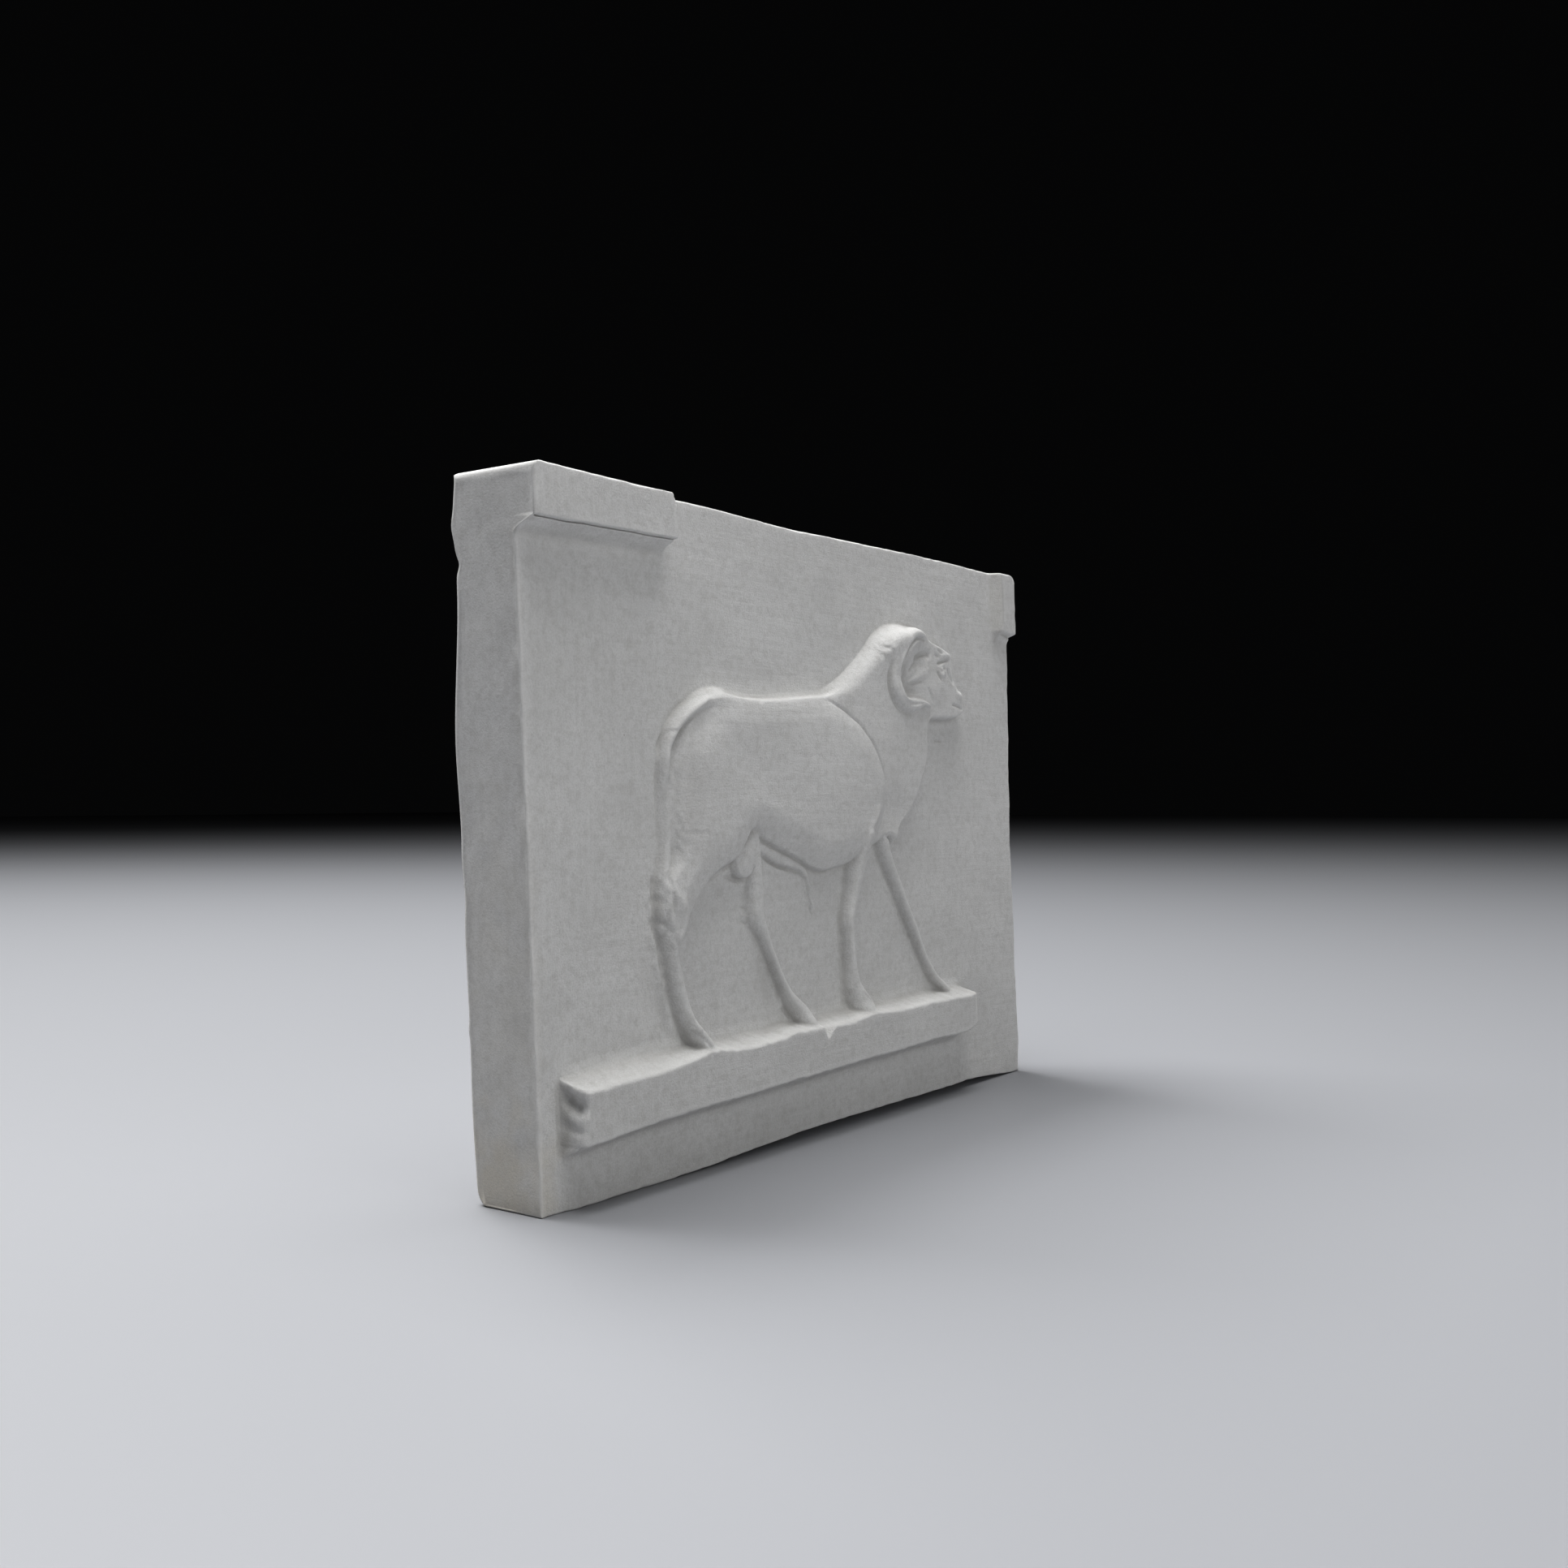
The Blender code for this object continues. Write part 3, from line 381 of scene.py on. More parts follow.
# Plaster: sizes in metres, and linear colours
CLOUD_SIZE = 0.018
MOTTLE_SIZE = 0.0016
BRUSH_WIDTH = 0.0011
BRUSH_STRETCH = 0.07
BRUSH_TURN = (-0.078, -0.06)              # the streaks turn from upright to level here, along x
GRAIN_SIZE = 0.00036
PIT_SPACING = 0.0042
PIT_RADIUS = 0.11                         # share of the spacing
STREAK_DEPTH, GRAIN_DEPTH, PIT_DEPTH = 0.00014, 0.00018, 0.00012
SIDE_LIMITS = (-0.0898, -0.0885)          # the left side, which is smoother, ends here
SIDE_BUMP = 0.35
CAST_DARK = (0.63, 0.626, 0.616, 1)
CAST_LIGHT = (0.71, 0.706, 0.697, 1)
STREAK_TONE = (0.50, 0.495, 0.48, 1)
MOTTLE_TONE = (0.47, 0.46, 0.44, 1)
GRAIN_TONE = (0.40, 0.395, 0.38, 1)
# painted shade and dirt: the tone that hollows, creases and the places under the blocks turn to
SHADE_AND_DIRT_TONE = (0.36, 0.35, 0.33, 1)
RUBBED_TONE = (0.78, 0.775, 0.76, 1)
PIT_TONE = (0.25, 0.24, 0.225, 1)

# Warm stains on the left foot and side, as (centre, reach, strength, colour)
STAINS = [((-0.0905, 0.003, 0.003), (0.010, 0.014, 0.016), 0.55, (0.62, 0.56, 0.45, 1)),
          ((-0.092, 0.0, 0.03), (0.004, 0.02, 0.05), 0.25, (0.60, 0.57, 0.50, 1))]

# Camera and floor, in metres, millimetres of lens and degrees
CAMERA_PLACE = (-0.28554, -0.19756, 0.07227)
CAMERA_AZIMUTH = -54.68
CAMERA_ELEVATION = -0.54
CAMERA_LENS = 35.82
FLOOR_SIZE = 12.0
FLOOR_TONE = (0.2, 0.204, 0.217, 1)
WORLD_TONE = (0.80, 0.82, 0.86, 1)

# Lamps as (name, azimuth, elevation, distance, size, power)
LAMPS = [("back top", 180, 60, 1.6, 0.9, 41), ("high back", 180, 80, 1.6, 0.9, 25),
         ("front low", 8, 8, 1.6, 0.9, 3.3), ("near left", -10, 24, 0.7, 0.4, 0.75),
         ("near overhead", -60, 78, 0.55, 0.35, 2.3)]


def smooth_line(points, closed, steps=6):
    """Points of a smooth curve through the given ones."""
    knots = np.array(points, float)
    if closed:
        knots = np.vstack([knots[-1], knots, knots[:2]])
    else:
        knots = np.vstack([2 * knots[0] - knots[1], knots, 2 * knots[-1] - knots[-2]])
    t = (np.arange(steps) / steps)[:, None]
    spans = []
    for a, b, c, d in zip(knots, knots[1:], knots[2:], knots[3:]):
        curve = b + 0.5 * t * (c - a + t * (2 * a - 5 * b + 4 * c - d + t * (3 * b - a - 3 * c + d)))
        spans.append(curve)
    if not closed:
        spans.append(knots[-2:-1])
    return np.vstack(spans)


def nearest_on_line(x, z, line, closed=False, reach=6.0):
    """Distance to the line up to reach, the values it carries there, and the points it encloses."""
    low = line[:, :2].min(axis=0) - reach
    high = line[:, :2].max(axis=0) + reach
    close = (x > low[0]) & (x < high[0]) & (z > low[1]) & (z < high[1])
    px = x[close]
    pz = z[close]
    gaps = np.full(px.shape, reach)
    values = np.tile(line[0, 2:], px.shape + (1,))
    inside = np.zeros(px.shape, bool)
    ends = np.roll(line, -1, axis=0) if closed else line[1:]
    for a, b in zip(line, ends):
        run, rise = b[0] - a[0], b[1] - a[1]
        t = np.clip(((px - a[0]) * run + (pz - a[1]) * rise) / (run * run + rise * rise), 0, 1)
        gap = np.hypot(px - a[0] - t * run, pz - a[1] - t * rise)
        closer = gap < gaps
        gaps[closer] = gap[closer]
        values[closer] = a[2:] + t[closer, None] * (b - a)[2:]
        if closed and rise:
            inside ^= ((a[1] > pz) != (b[1] > pz)) & (px < a[0] + run * (pz - a[1]) / rise)
    distance = np.full(x.shape, reach)
    carried = np.ones(x.shape + values.shape[-1:])
    enclosed = np.zeros(x.shape, bool)
    distance[close] = gaps
    carried[close] = values
    enclosed[close] = inside
    return distance, carried, enclosed


def full_round(t):
    """Rises steeply from 0 and levels out at 1."""
    return 1 - (1 - np.clip(t, 0, 1)) ** EDGE_POWER


def quarter_round(t):
    """Rises from 0 to 1 along a quarter of a circle."""
    t = np.clip(t, 0, 1)
    return np.sqrt(np.clip(2 * t - t * t, 0, 1))


def ease(t):
    """Rises from 0 to 1 with a soft start and a soft end."""
    t = np.clip(t, 0, 1)
    return t * t * (3 - 2 * t)


def fade(value, start, full):
    """Softly from 0 at start to 1 at full, which may lie on either side of it."""
    return ease((value - start) / (full - start))


def outer_fifth(share):
    """Softly from 0 to 1 over the last fifth of the way to the edge."""
    return ease(share * 5 - 4)


def region(x, z, limits, share=1.0):
    """Share of an effect inside a region, whose (start, full) limits are for x or z."""
    for axis, start, full in limits:
        share = share * fade(x if axis == "x" else z, start, full)
    return share


def inset_from(x, z, outline):
    """Distance in from a closed outline, zero outside it."""
    distance, _, enclosed = nearest_on_line(x, z, smooth_line(outline, True), True, DEEPEST_INSET)
    return np.where(enclosed, distance, 0)


def limb(x, z, path, section=None):
    """Rounded rib along a path, falling below the panel beside it; section is its round part's height."""
    distance, carried, _ = nearest_on_line(x, z, smooth_line(path, False))
    half_width, height = carried[..., 0], carried[..., 1]
    rib = height - (height if section is None else section) * (distance / half_width) ** EDGE_POWER
    return np.where(distance < half_width, rib, np.clip(rib, -1, 0))


def stroke(x, z, path, width, height):
    """Soft ridge along a path, or a crease where height is negative, dying out at both ends."""
    line = smooth_line(path, False)
    share = np.linspace(0, 1, len(line))
    strength = ease(np.minimum(share, 1 - share) * STROKE_FADE + STROKE_ENDS)
    line = np.column_stack([line, strength])
    reach = STROKE_REACH * width
    distance, carried, _ = nearest_on_line(x, z, line, False, reach)
    return height * carried[..., 0] * np.exp(-(distance / width) ** 2) * (distance < reach)


def swelling(x, z, at_x, at_z, reach_x, reach_z, height, turn):
    """Soft oval mound, turned by the given degrees."""
    across, along = np.sin(np.radians(turn)), np.cos(np.radians(turn))
    u = ((x - at_x) * along + (z - at_z) * across) / reach_x
    v = ((z - at_z) * along - (x - at_x) * across) / reach_z
    return height * np.exp(-u * u - v * v)


def uneven(x, z, size, seed):
    """Soft random heights between -1 and 1, with features of about the given size."""
    knots = np.random.default_rng(seed).uniform(-1, 1, (KNOTS + 1, KNOTS + 1))
    u, v = (x + KNOT_SHIFT) / size % KNOTS, (z + KNOT_SHIFT) / size % KNOTS
    column, row = u.astype(int), v.astype(int)
    s, t = ease(u - column), ease(v - row)
    near = knots[row, column] * (1 - s) + knots[row, column + 1] * s
    far = knots[row + 1, column] * (1 - s) + knots[row + 1, column + 1] * s
    return near * (1 - t) + far * t


def roughened(smooth, x, z, layers):
    """The smooth value plus layers of soft random ones, given as (size, amount, seed)."""
    return sum((amount * uneven(x, z, size, seed) for size, amount, seed in layers), smooth)


def bulges(place, rows):
    """Sum of soft bumps along one direction."""
    return sum(amount * np.exp(-((place - at) / reach) ** 2) for at, reach, amount in rows)


def level_off(t, softness=0.18):
    """Values up to 1, rounding over just below it."""
    over = np.clip((t - 1 + softness) / (2 * softness), 0, 1)
    return np.minimum(t, 1 + softness) - softness * over * over


def join(a, b, fillet):
    """Larger of two heights, with a fillet between them."""
    t = np.clip(0.5 + 0.5 * (b - a) / fillet, 0, 1)
    return a + (b - a) * t + fillet * t * (1 - t)


def level_at(x, points):
    """Z of a smooth line at x."""
    line = smooth_line(points, False)
    return np.interp(x, line[:, 0], line[:, 1])


def body_round(x, z, inset):
    """Share of the body's height, this far in from its outline."""
    at_crest = region(x, z, CREST)
    at_tail = region(x, z, TAIL_ROOT)
    width = RAM_ROUND + (FACE_ROUND - RAM_ROUND) * fade(x, *FACE_LIMITS)
    width = width + CREST_ROUND * at_crest + TAIL_ROUND * at_tail
    soft = full_round(inset / width)
    soft = soft + (0.5 + 0.5 * at_tail) * (ease(inset / width) - soft) * (1 - at_crest)
    sharp = sum(share * ease((inset - start) / rise) for share, start, rise in BACK_STEPS)
    soft = soft + (sharp - soft) * region(x, z, BACK)
    turned_under = sum(share * full_round(inset / rise) for share, rise in BELLY_STEPS)
    return soft + (turned_under - soft) * region(x, z, BELLY)


def body_height(x, z):
    """The ram's rounded mass, with the fleece standing above the neck."""
    inset = inset_from(x, z, RAM_OUTLINE)
    height = RAM_HEIGHT * body_round(x, z, inset)
    height = height * (1 - region(x, z, RUMP, RUMP_DROP))
    to_line, _, _ = nearest_on_line(x, z, smooth_line(FLEECE_LINE, False), False, FLEECE_REACH)
    _, _, behind = nearest_on_line(x, z, smooth_line(FLEECE_LINE + FLEECE_BACK, True), True)
    fleece = FLEECE_HEIGHT * full_round(to_line / FLEECE_REACH) * ease(inset / FLEECE_INSET)
    height = height + np.where(behind, fleece, 0)
    for bulge in SWELLINGS:
        height = height + swelling(x, z, *bulge) * full_round(inset / SWELLING_INSET)
    return height


def ram_height(x, z):
    """The ram, walking right."""
    height = body_height(x, z)
    legs = np.maximum.reduce([limb(x, z, leg) for leg in
                              (NEAR_HIND_LEG, FAR_HIND_LEG, NEAR_FORE_LEG, FAR_FORE_LEG)])
    tail = np.maximum(limb(x, z, TAIL), limb(x, z, TUFT))
    for addition in (legs, tail, limb(x, z, BELLY_FOLD), limb(x, z, GROIN, GROIN_SECTION)):
        height = join(height, addition, LIMB_FILLET)
    for line in TAIL_STROKES + BODY_STROKES + LEG_STROKES:
        height = height + stroke(x, z, *line)
    for bulge in HEAD_SWELLINGS:
        height = height + swelling(x, z, *bulge)
    height = join(height, limb(x, z, EAR, EAR_SECTION), EAR_FILLET)
    height = join(height, limb(x, z, HORN, HORN_SECTION), HORN_FILLET)
    for line in HEAD_STROKES:
        height = height + stroke(x, z, *line)
    return height


def notch_share(x, z):
    """Share of the notch's depth that is cut away."""
    reach = np.clip(NOTCH_TOP - z, 0, None)
    from_left = x - NOTCH_LEFT - NOTCH_LEFT_SLOPE * reach
    from_right = NOTCH_RIGHT - x - NOTCH_RIGHT_SLOPE * reach
    return np.clip(np.minimum(from_left / NOTCH_LEFT_WALL, from_right / NOTCH_RIGHT_WALL), 0, 1)


def ground_height(x, z):
    """The bar under the hooves: worn edges, a crease under its front face and a notch."""
    wander = roughened(0, x, 0 * x, BAR_WANDER)
    front_top = level_at(x, FRONT_TOP) + wander
    back_top = roughened(level_at(x, GROUND_TOP), x, 0 * x, BAR_BACK_WANDER)
    foot = level_at(x, FRONT_FOOT) + BAR_FOOT_WANDER * wander
    from_top = (back_top - z) / (back_top - front_top)
    from_ends = np.minimum((x - GROUND_LEFT) / LEFT_DRAFT, (GROUND_RIGHT - x) / RIGHT_DRAFT)
    share = np.minimum(from_top, from_ends)
    underside = (GROUND_HEIGHT - GROUND_STEP) * ((z - foot) / UNDERCUT + 1)
    bar = GROUND_HEIGHT * level_off(np.maximum(share, -GROUND_SINK))
    bar = np.where(z < foot, np.minimum(bar, underside), bar)
    bar = np.maximum(bar, -GROUND_SINK * GROUND_HEIGHT)
    crease = np.exp(-((z - foot + BAR_CREASE_WIDTH) / BAR_CREASE_WIDTH) ** 2)
    bar = bar - BAR_CREASE_DEPTH * crease * (share > 0)
    bar = bar - NOTCH_DEPTH * notch_share(x, z)
    rough = (bar > 1) * BAR_ROUGHNESS * uneven(x, z, BAR_GRAIN, 6)
    return bar + rough * ease((z - front_top + BAR_ROUGH_DROP) / BAR_ROUGH_RISE)


def ground_ramp(x, z):
    """Gentle swelling of the panel just above the bar."""
    along = ease((x - GROUND_LEFT + 1) / RAMP_FADE) * ease((GROUND_RIGHT + 1 - x) / RAMP_FADE)
    return GROUND_RAMP * along * ease((level_at(x, GROUND_TOP) + RAMP_REACH - z) / RAMP_RISE)


def left_block(x, z):
    """The long block at the upper left, rounded at its right end and cut in under its front."""
    foot = LEFT_BLOCK_FOOT + LEFT_BLOCK_CLIMB * (x + HALF_FOOT)
    foot = roughened(foot, x, 0 * x, BLOCK_WANDER)
    below = np.clip((z - foot) / LEFT_BLOCK_COVE + 1, 0, 1)
    cove = (LEFT_BLOCK_HEIGHT - BLOCK_LIP) * below ** LEFT_COVE_POWER
    past = np.clip(x - LEFT_BLOCK_END + BLOCK_CORNER, 0, None)
    over = np.clip(z - BLOCK_SHOULDER, 0, None) * ease(past / (BLOCK_CORNER / 2))
    end = full_round((BLOCK_CORNER - np.hypot(past, over)) / BLOCK_END_ROUND)
    block = np.where(z > foot, LEFT_BLOCK_HEIGHT, cove) * end
    cut = ease((x - BLOCK_CUT_START) / BLOCK_CUT_FADES[0])
    cut = cut * ease((LEFT_BLOCK_END + BLOCK_CUT_PAST - x) / BLOCK_CUT_FADES[1])
    return block - BLOCK_CUT * cut * np.exp(-((z - foot + BLOCK_CUT_DROP) / BLOCK_CUT_WIDTH) ** 2)


def right_block(x, z):
    """The block at the upper right."""
    cove = np.clip((z - RIGHT_BLOCK_FOOT) / RIGHT_BLOCK_COVE + 1, 0, 1) ** RIGHT_COVE_POWER
    return RIGHT_BLOCK_HEIGHT * (cove * ease((x - RIGHT_BLOCK_START) / RIGHT_BLOCK_FLANK))


def face_height(x, z):
    """Height of everything on the front, forward from the flat panel."""
    height = ram_height(x, z)
    height = height + sum(swelling(x, z, *wash) for wash in WASHES) * ease(1 - height / WASH_LIMIT)
    height = join(height + ground_ramp(x, z), ground_height(x, z), GROUND_FILLET)
    height = height + np.maximum(left_block(x, z), right_block(x, z))
    height = height + sum(stroke(x, z, *line) for line in CREASES)
    height = roughened(height, x, z, RIPPLES)
    rough = sum(swelling(x, z, *place) for place in ROUGH)
    return height + rough * uneven(x, ROUGH_STRETCH * z, ROUGH_GRAIN, 21)


def stations(low, high, fine_low, fine_high, finer):
    """Sample places from low to high, close together on the edges and between the fine limits."""
    step = FINE_STEP * 1
    fine = np.linspace(fine_low, fine_high, round((fine_high - fine_low) / step) + 1)
    before = np.arange(low + BACK_ROUND, fine_low - step, COARSE_STEP)
    after = np.arange(high - BACK_ROUND, fine_high + step, -COARSE_STEP)[::-1]
    edge = BACK_ROUND * (1 - np.cos(np.linspace(0, np.pi / 2, EDGE_CUTS)))[:-1]
    places = np.concatenate([low + edge, before, fine, after, (high - edge)[::-1]])
    for start, end, count in finer:
        kept = places[(places < start - 0.1) | (places > end + 0.1)]
        places = np.sort(np.concatenate([kept, np.linspace(start, end, count)]))
    return places


def closed_block(across, up):
    """Places (across, up, depth from 0 to 1) and four-sided faces of a closed block."""
    columns, rows = len(across), len(up)
    flat = np.stack([np.tile(across, rows), np.repeat(up, columns)], axis=1)
    grid = np.arange(columns * rows).reshape(rows, columns)
    edge = np.concatenate([grid[0, :-1], grid[:-1, -1], grid[-1, :0:-1], grid[:0:-1, 0]])
    depths = 0.5 - 0.5 * np.cos(np.linspace(0, np.pi, RIM_CUTS + 2))[1:-1]
    layers = [np.column_stack([flat, np.zeros(len(flat))]), np.column_stack([flat, np.ones(len(flat))])]
    layers += [np.column_stack([flat[edge], np.full(len(edge), depth)]) for depth in depths]
    rings = [2 * len(flat) + k * len(edge) + np.arange(len(edge)) for k in range(RIM_CUTS)]
    rings = [edge] + rings + [edge + len(flat)]
    front = np.stack([grid[:-1, :-1], grid[:-1, 1:], grid[1:, 1:], grid[1:, :-1]], axis=-1).reshape(-1, 4)
    faces = [front, front[:, ::-1] + len(flat)]
    for near, far in zip(rings, rings[1:]):
        faces.append(np.stack([near, far, np.roll(far, -1), np.roll(near, -1)], axis=1))
    return np.vstack(layers), np.vstack(faces)


def rounded_corners(across, up):
    """Draw the corners of the outline in to a small radius."""
    radius = np.where(across > 0, TOP_RIGHT_ROUND, CORNER_ROUND)
    radius = np.where(up > HEIGHT / 2, radius, FOOT_ROUND)
    side = np.sign(across) * (HALF_FOOT - radius)
    level = np.where(up > HEIGHT / 2, HEIGHT - radius, radius)
    p = np.clip((np.abs(across) - HALF_FOOT + radius) / radius, 0, 1)
    q = np.clip(np.abs(up - HEIGHT / 2) - HEIGHT / 2 + radius, 0, None) / radius
    corner = (p > 0) & (q > 0)
    new_across = side + np.sign(across) * radius * p * np.sqrt(1 - q * q / 2)
    new_up = level + np.sign(up - HEIGHT / 2) * radius * q * np.sqrt(1 - p * p / 2)
    return np.where(corner, new_across, across), np.where(corner, new_up, up)


def from_edge(across, up):
    """Distance in from the tablet's outline."""
    return np.minimum(HALF_FOOT - np.abs(across), np.minimum(up, HEIGHT - up))


def hand_cut(across, up, depth):
    """The outline's x and z: spreading upwards, uneven along its edges and worn under the front."""
    share = up / HEIGHT
    bend = np.clip((share - RIGHT_BEND[0]) / (RIGHT_BEND[1] - RIGHT_BEND[0]), 0, 1)
    spread = np.where(across < 0, LEFT_SPREAD * share, RIGHT_SPREAD * bend)
    x = across * (1 + spread / HALF_FOOT)
    x = x + bulges(up, RIGHT_BULGES) * outer_fifth(across / HALF_FOOT)
    wear = WORN_FOOT * fade(x, *WORN_LEFT) * fade(x, *WORN_RIGHT)
    wear = wear * (1 - ease(depth / WEAR_DEPTH)) * (1 - share)
    z = up + wear + TOP_RISE * share * ease((x - RISE_START) / RISE_LENGTH)
    return x, z + bulges(x, TOP_BULGES) * outer_fifth(share)


def slab_thickness(x, z, across, up):
    """Distance from the panel to the back, with the worn lower corner of the left side."""
    near_left = ease(10 * (-across / HALF_FOOT - 0.9))
    thickness = THICKNESS + bulges(z, SIDE_BULGES) * near_left
    away_from_edge = fade(from_edge(across, up), *BACK_LIMITS)
    thickness = thickness - BACK_HOLLOW * np.abs(uneven(x, z, BACK_GRAIN, 13)) * away_from_edge
    return thickness - FOOT_CHIP * (1 - quarter_round(up / CHIP_HEIGHT)) * fade(across, *CHIP_LIMITS)


def broken_end(x, forward, z):
    """Push the left end of the bar in where pieces are broken out of it, short of both its edges."""
    reach = np.clip(forward / GROUND_HEIGHT, 0, 1)
    on_end = (x > GROUND_LEFT - END_MARGIN) & (x < GROUND_LEFT + LEFT_DRAFT + END_MARGIN)
    push = np.zeros(len(x))
    for depth, backs, fronts in HOLLOWS:
        upper, deepest, lower = (back + (front - back) * reach for back, front in zip(backs, fronts))
        bite = ease(np.minimum((upper - z) / (upper - deepest), (z - lower) / (deepest - lower)))
        push += depth * bite * ease(reach * 4) * ease((1 - reach) * 5)
    return x + on_end * push


def tablet_points(block):
    """Shape the closed block's points into the tablet."""
    depth = block[:, 2]
    across, up = rounded_corners(block[:, 0], block[:, 1])
    x, z = hand_cut(across, up, depth)
    edge = from_edge(across, up)
    arris = EDGE_ROUND * roughened(1, x, z, ARRIS_WEAR)
    front_drop = arris * (1 - quarter_round(edge / arris))
    back_drop = BACK_ROUND * (1 - quarter_round(edge / BACK_ROUND))
    front = depth == 0
    back = depth == 1
    forward = np.zeros(len(x))
    forward[~back] = face_height(x[~back], z[~back]) * (1 - depth[~back])
    x = np.where(front, broken_end(x, forward, z), x)
    thickness = slab_thickness(x, z, across, up)
    on_side = ~front & ~back & (np.abs(across) > HALF_FOOT - 0.01)
    grain = SIDE_GRAIN * (1 + uneven(z, SIDE_SPAN * depth, 5, 14))
    x = x - np.sign(across) * on_side * grain
    into = arris + depth * (thickness - arris - BACK_ROUND)
    into = np.where(front, front_drop, into)
    into = np.where(back, thickness - back_drop, into)
    return np.stack([x, LEAN * z - forward + into, z], axis=1)


def hollowness(x, z, height):
    """How far each grid point lies below the average of the ground around it."""
    total = np.zeros_like(height)
    for turn in np.linspace(0, 2 * np.pi, HOLLOW_TURNS, endpoint=False):
        side = x[0] + HOLLOW_REACH * np.cos(turn)
        above = z[:, 0] + HOLLOW_REACH * np.sin(turn)
        columns = np.clip(np.searchsorted(x[0], side), 0, x.shape[1] - 1)
        rows = np.clip(np.searchsorted(z[:, 0], above), 0, x.shape[0] - 1)
        total += height[np.ix_(rows, columns)]
    return total / HOLLOW_TURNS - height


def shade_dirt_wear_amounts(block, points, shape):
    """How darkened each point is, above 0, by painted shade in its hollows and under the blocks together
    with dirt, or how rubbed it is, below 0.
    """
    across, up, depth = block.T
    on_face = shape[0] * shape[1]
    x, z = points[:on_face, 0].reshape(shape), points[:on_face, 2].reshape(shape)
    height = LEAN * z - points[:on_face, 1].reshape(shape)
    # the listed patches: painted shadow under the blocks, painted shade in the right block's crease, and
    # darkening elsewhere
    shade_and_dirt = sum(swelling(x, z, *patch) for patch in SHADE_AND_DIRT_PATCHES)
    amount = np.zeros(len(points))
    # painted shade in the hollows, together with dirt, plus the listed darker patches
    amount[:on_face] = (hollowness(x, z, height) + shade_and_dirt).ravel()
    rubbed = np.exp(-(from_edge(across, up) / RUBBED_WIDTH) ** 2) * (depth == 0)
    amount -= RUBBED_AMOUNT * rubbed * (1 + uneven(points[:, 0], points[:, 2], 3, 31))
    beside_face = (depth > 0) & (depth < SIDE_DIRT_DEPTH)
    patchy = np.clip(0.4 + uneven(points[:, 0], points[:, 2], 6, 32), 0, 1)
    amount += SIDE_DIRT * beside_face * patchy
    return amount


def placed(name, data):
    """A new object in the scene."""
    thing = bpy.data.objects.new(name, data)
    bpy.context.scene.collection.objects.link(thing)
    return thing


def new_material(name):
    """A material, its node tree and its shader."""
    material = bpy.data.materials.new(name)
    material.use_nodes = True
    return material, material.node_tree, material.node_tree.nodes["Principled BSDF"]


def add(tree, kind, sockets=(), **settings):
    """A node with its settings; a socket is given a value, or the output that feeds it."""
    node = tree.nodes.new(kind)
    for name, value in settings.items():
        setattr(node, name, value)
    for key, value in dict(sockets).items():
        if isinstance(value, bpy.types.NodeSocket):
            tree.links.new(value, node.inputs[key])
        else:
            node.inputs[key].default_value = value
    return node


def noise(tree, place, size, detail=2.0, roughness=0.5, stretch=(1, 1, 1)):
    """Grey noise whose features are about size across, in metres."""
    scaled = add(tree, "ShaderNodeVectorMath", {0: place, 1: stretch}, operation="MULTIPLY")
    texture = add(tree, "ShaderNodeTexNoise", {"Vector": scaled.outputs[0], "Scale": 1 / size,
                                               "Detail": detail, "Roughness": roughness})
    return texture.outputs["Fac"]


def ramp(tree, value, low, high, to_low=0.0, to_high=1.0):
    """Value stretched so that low and high land on the two results."""
    node = add(tree, "ShaderNodeMapRange", {"Value": value, "From Min": low, "From Max": high,
                                            "To Min": to_low, "To Max": to_high})
    return node.outputs["Result"]


def maths(tree, operation, a, b):
    """Result of one sum on two values."""
    return add(tree, "ShaderNodeMath", {0: a, 1: b}, operation=operation).outputs[0]


def blend(tree, factor, a, b):
    """Colour a, turning into colour b as the factor rises to 1."""
    node = add(tree, "ShaderNodeMix", data_type="RGBA")
    colour_inputs = [socket for socket in node.inputs if socket.type == "RGBA"]
    for socket, value in zip([node.inputs[0]] + colour_inputs, (factor, a, b)):
        if isinstance(value, bpy.types.NodeSocket):
            tree.links.new(value, socket)
        else:
            socket.default_value = value
    return next(socket for socket in node.outputs if socket.type == "RGBA")


def stain(tree, place, centre, reach):
    """1 at a place in metres, falling to 0 at reach, with a ragged edge."""
    offset = add(tree, "ShaderNodeVectorMath", {0: place, 1: centre}, operation="SUBTRACT")
    scaled = add(tree, "ShaderNodeVectorMath", {0: offset.outputs[0], 1: [1 / r for r in reach]},
                 operation="MULTIPLY")
    length = add(tree, "ShaderNodeVectorMath", {0: scaled.outputs[0]}, operation="LENGTH")
    wander = ramp(tree, noise(tree, place, 0.006), 0.3, 0.7, -0.3, 0.3)
    ragged = maths(tree, "ADD", length.outputs["Value"], wander)
    return ramp(tree, ragged, 1.0, 0.2)


def brush_marks(tree, place, along):
    """Fine streaks, upright at the left margin of the face and level over the rest."""
    upright = noise(tree, place, BRUSH_WIDTH, 3, 0.6, (1, 1, BRUSH_STRETCH))
    level = noise(tree, place, BRUSH_WIDTH, 3, 0.6, (BRUSH_STRETCH, 1, 1))
    jitter = ramp(tree, noise(tree, place, 0.02, 2), 0.3, 0.7, -0.02, 0.02)
    where_level = ramp(tree, maths(tree, "ADD", along, jitter), *BRUSH_TURN)
    return add(tree, "ShaderNodeMix", {"Factor": where_level, "A": upright, "B": level}).outputs[0]


def pin_holes(tree, place):
    """1 in small round pits, here and there."""
    cells = add(tree, "ShaderNodeTexVoronoi", {"Vector": place, "Scale": 1 / PIT_SPACING,
                                               "Randomness": 1.0})
    radius = ramp(tree, noise(tree, place, 0.004, 1), 0.62, 0.8, 0, PIT_RADIUS)
    return maths(tree, "LESS_THAN", cells.outputs["Distance"], radius)


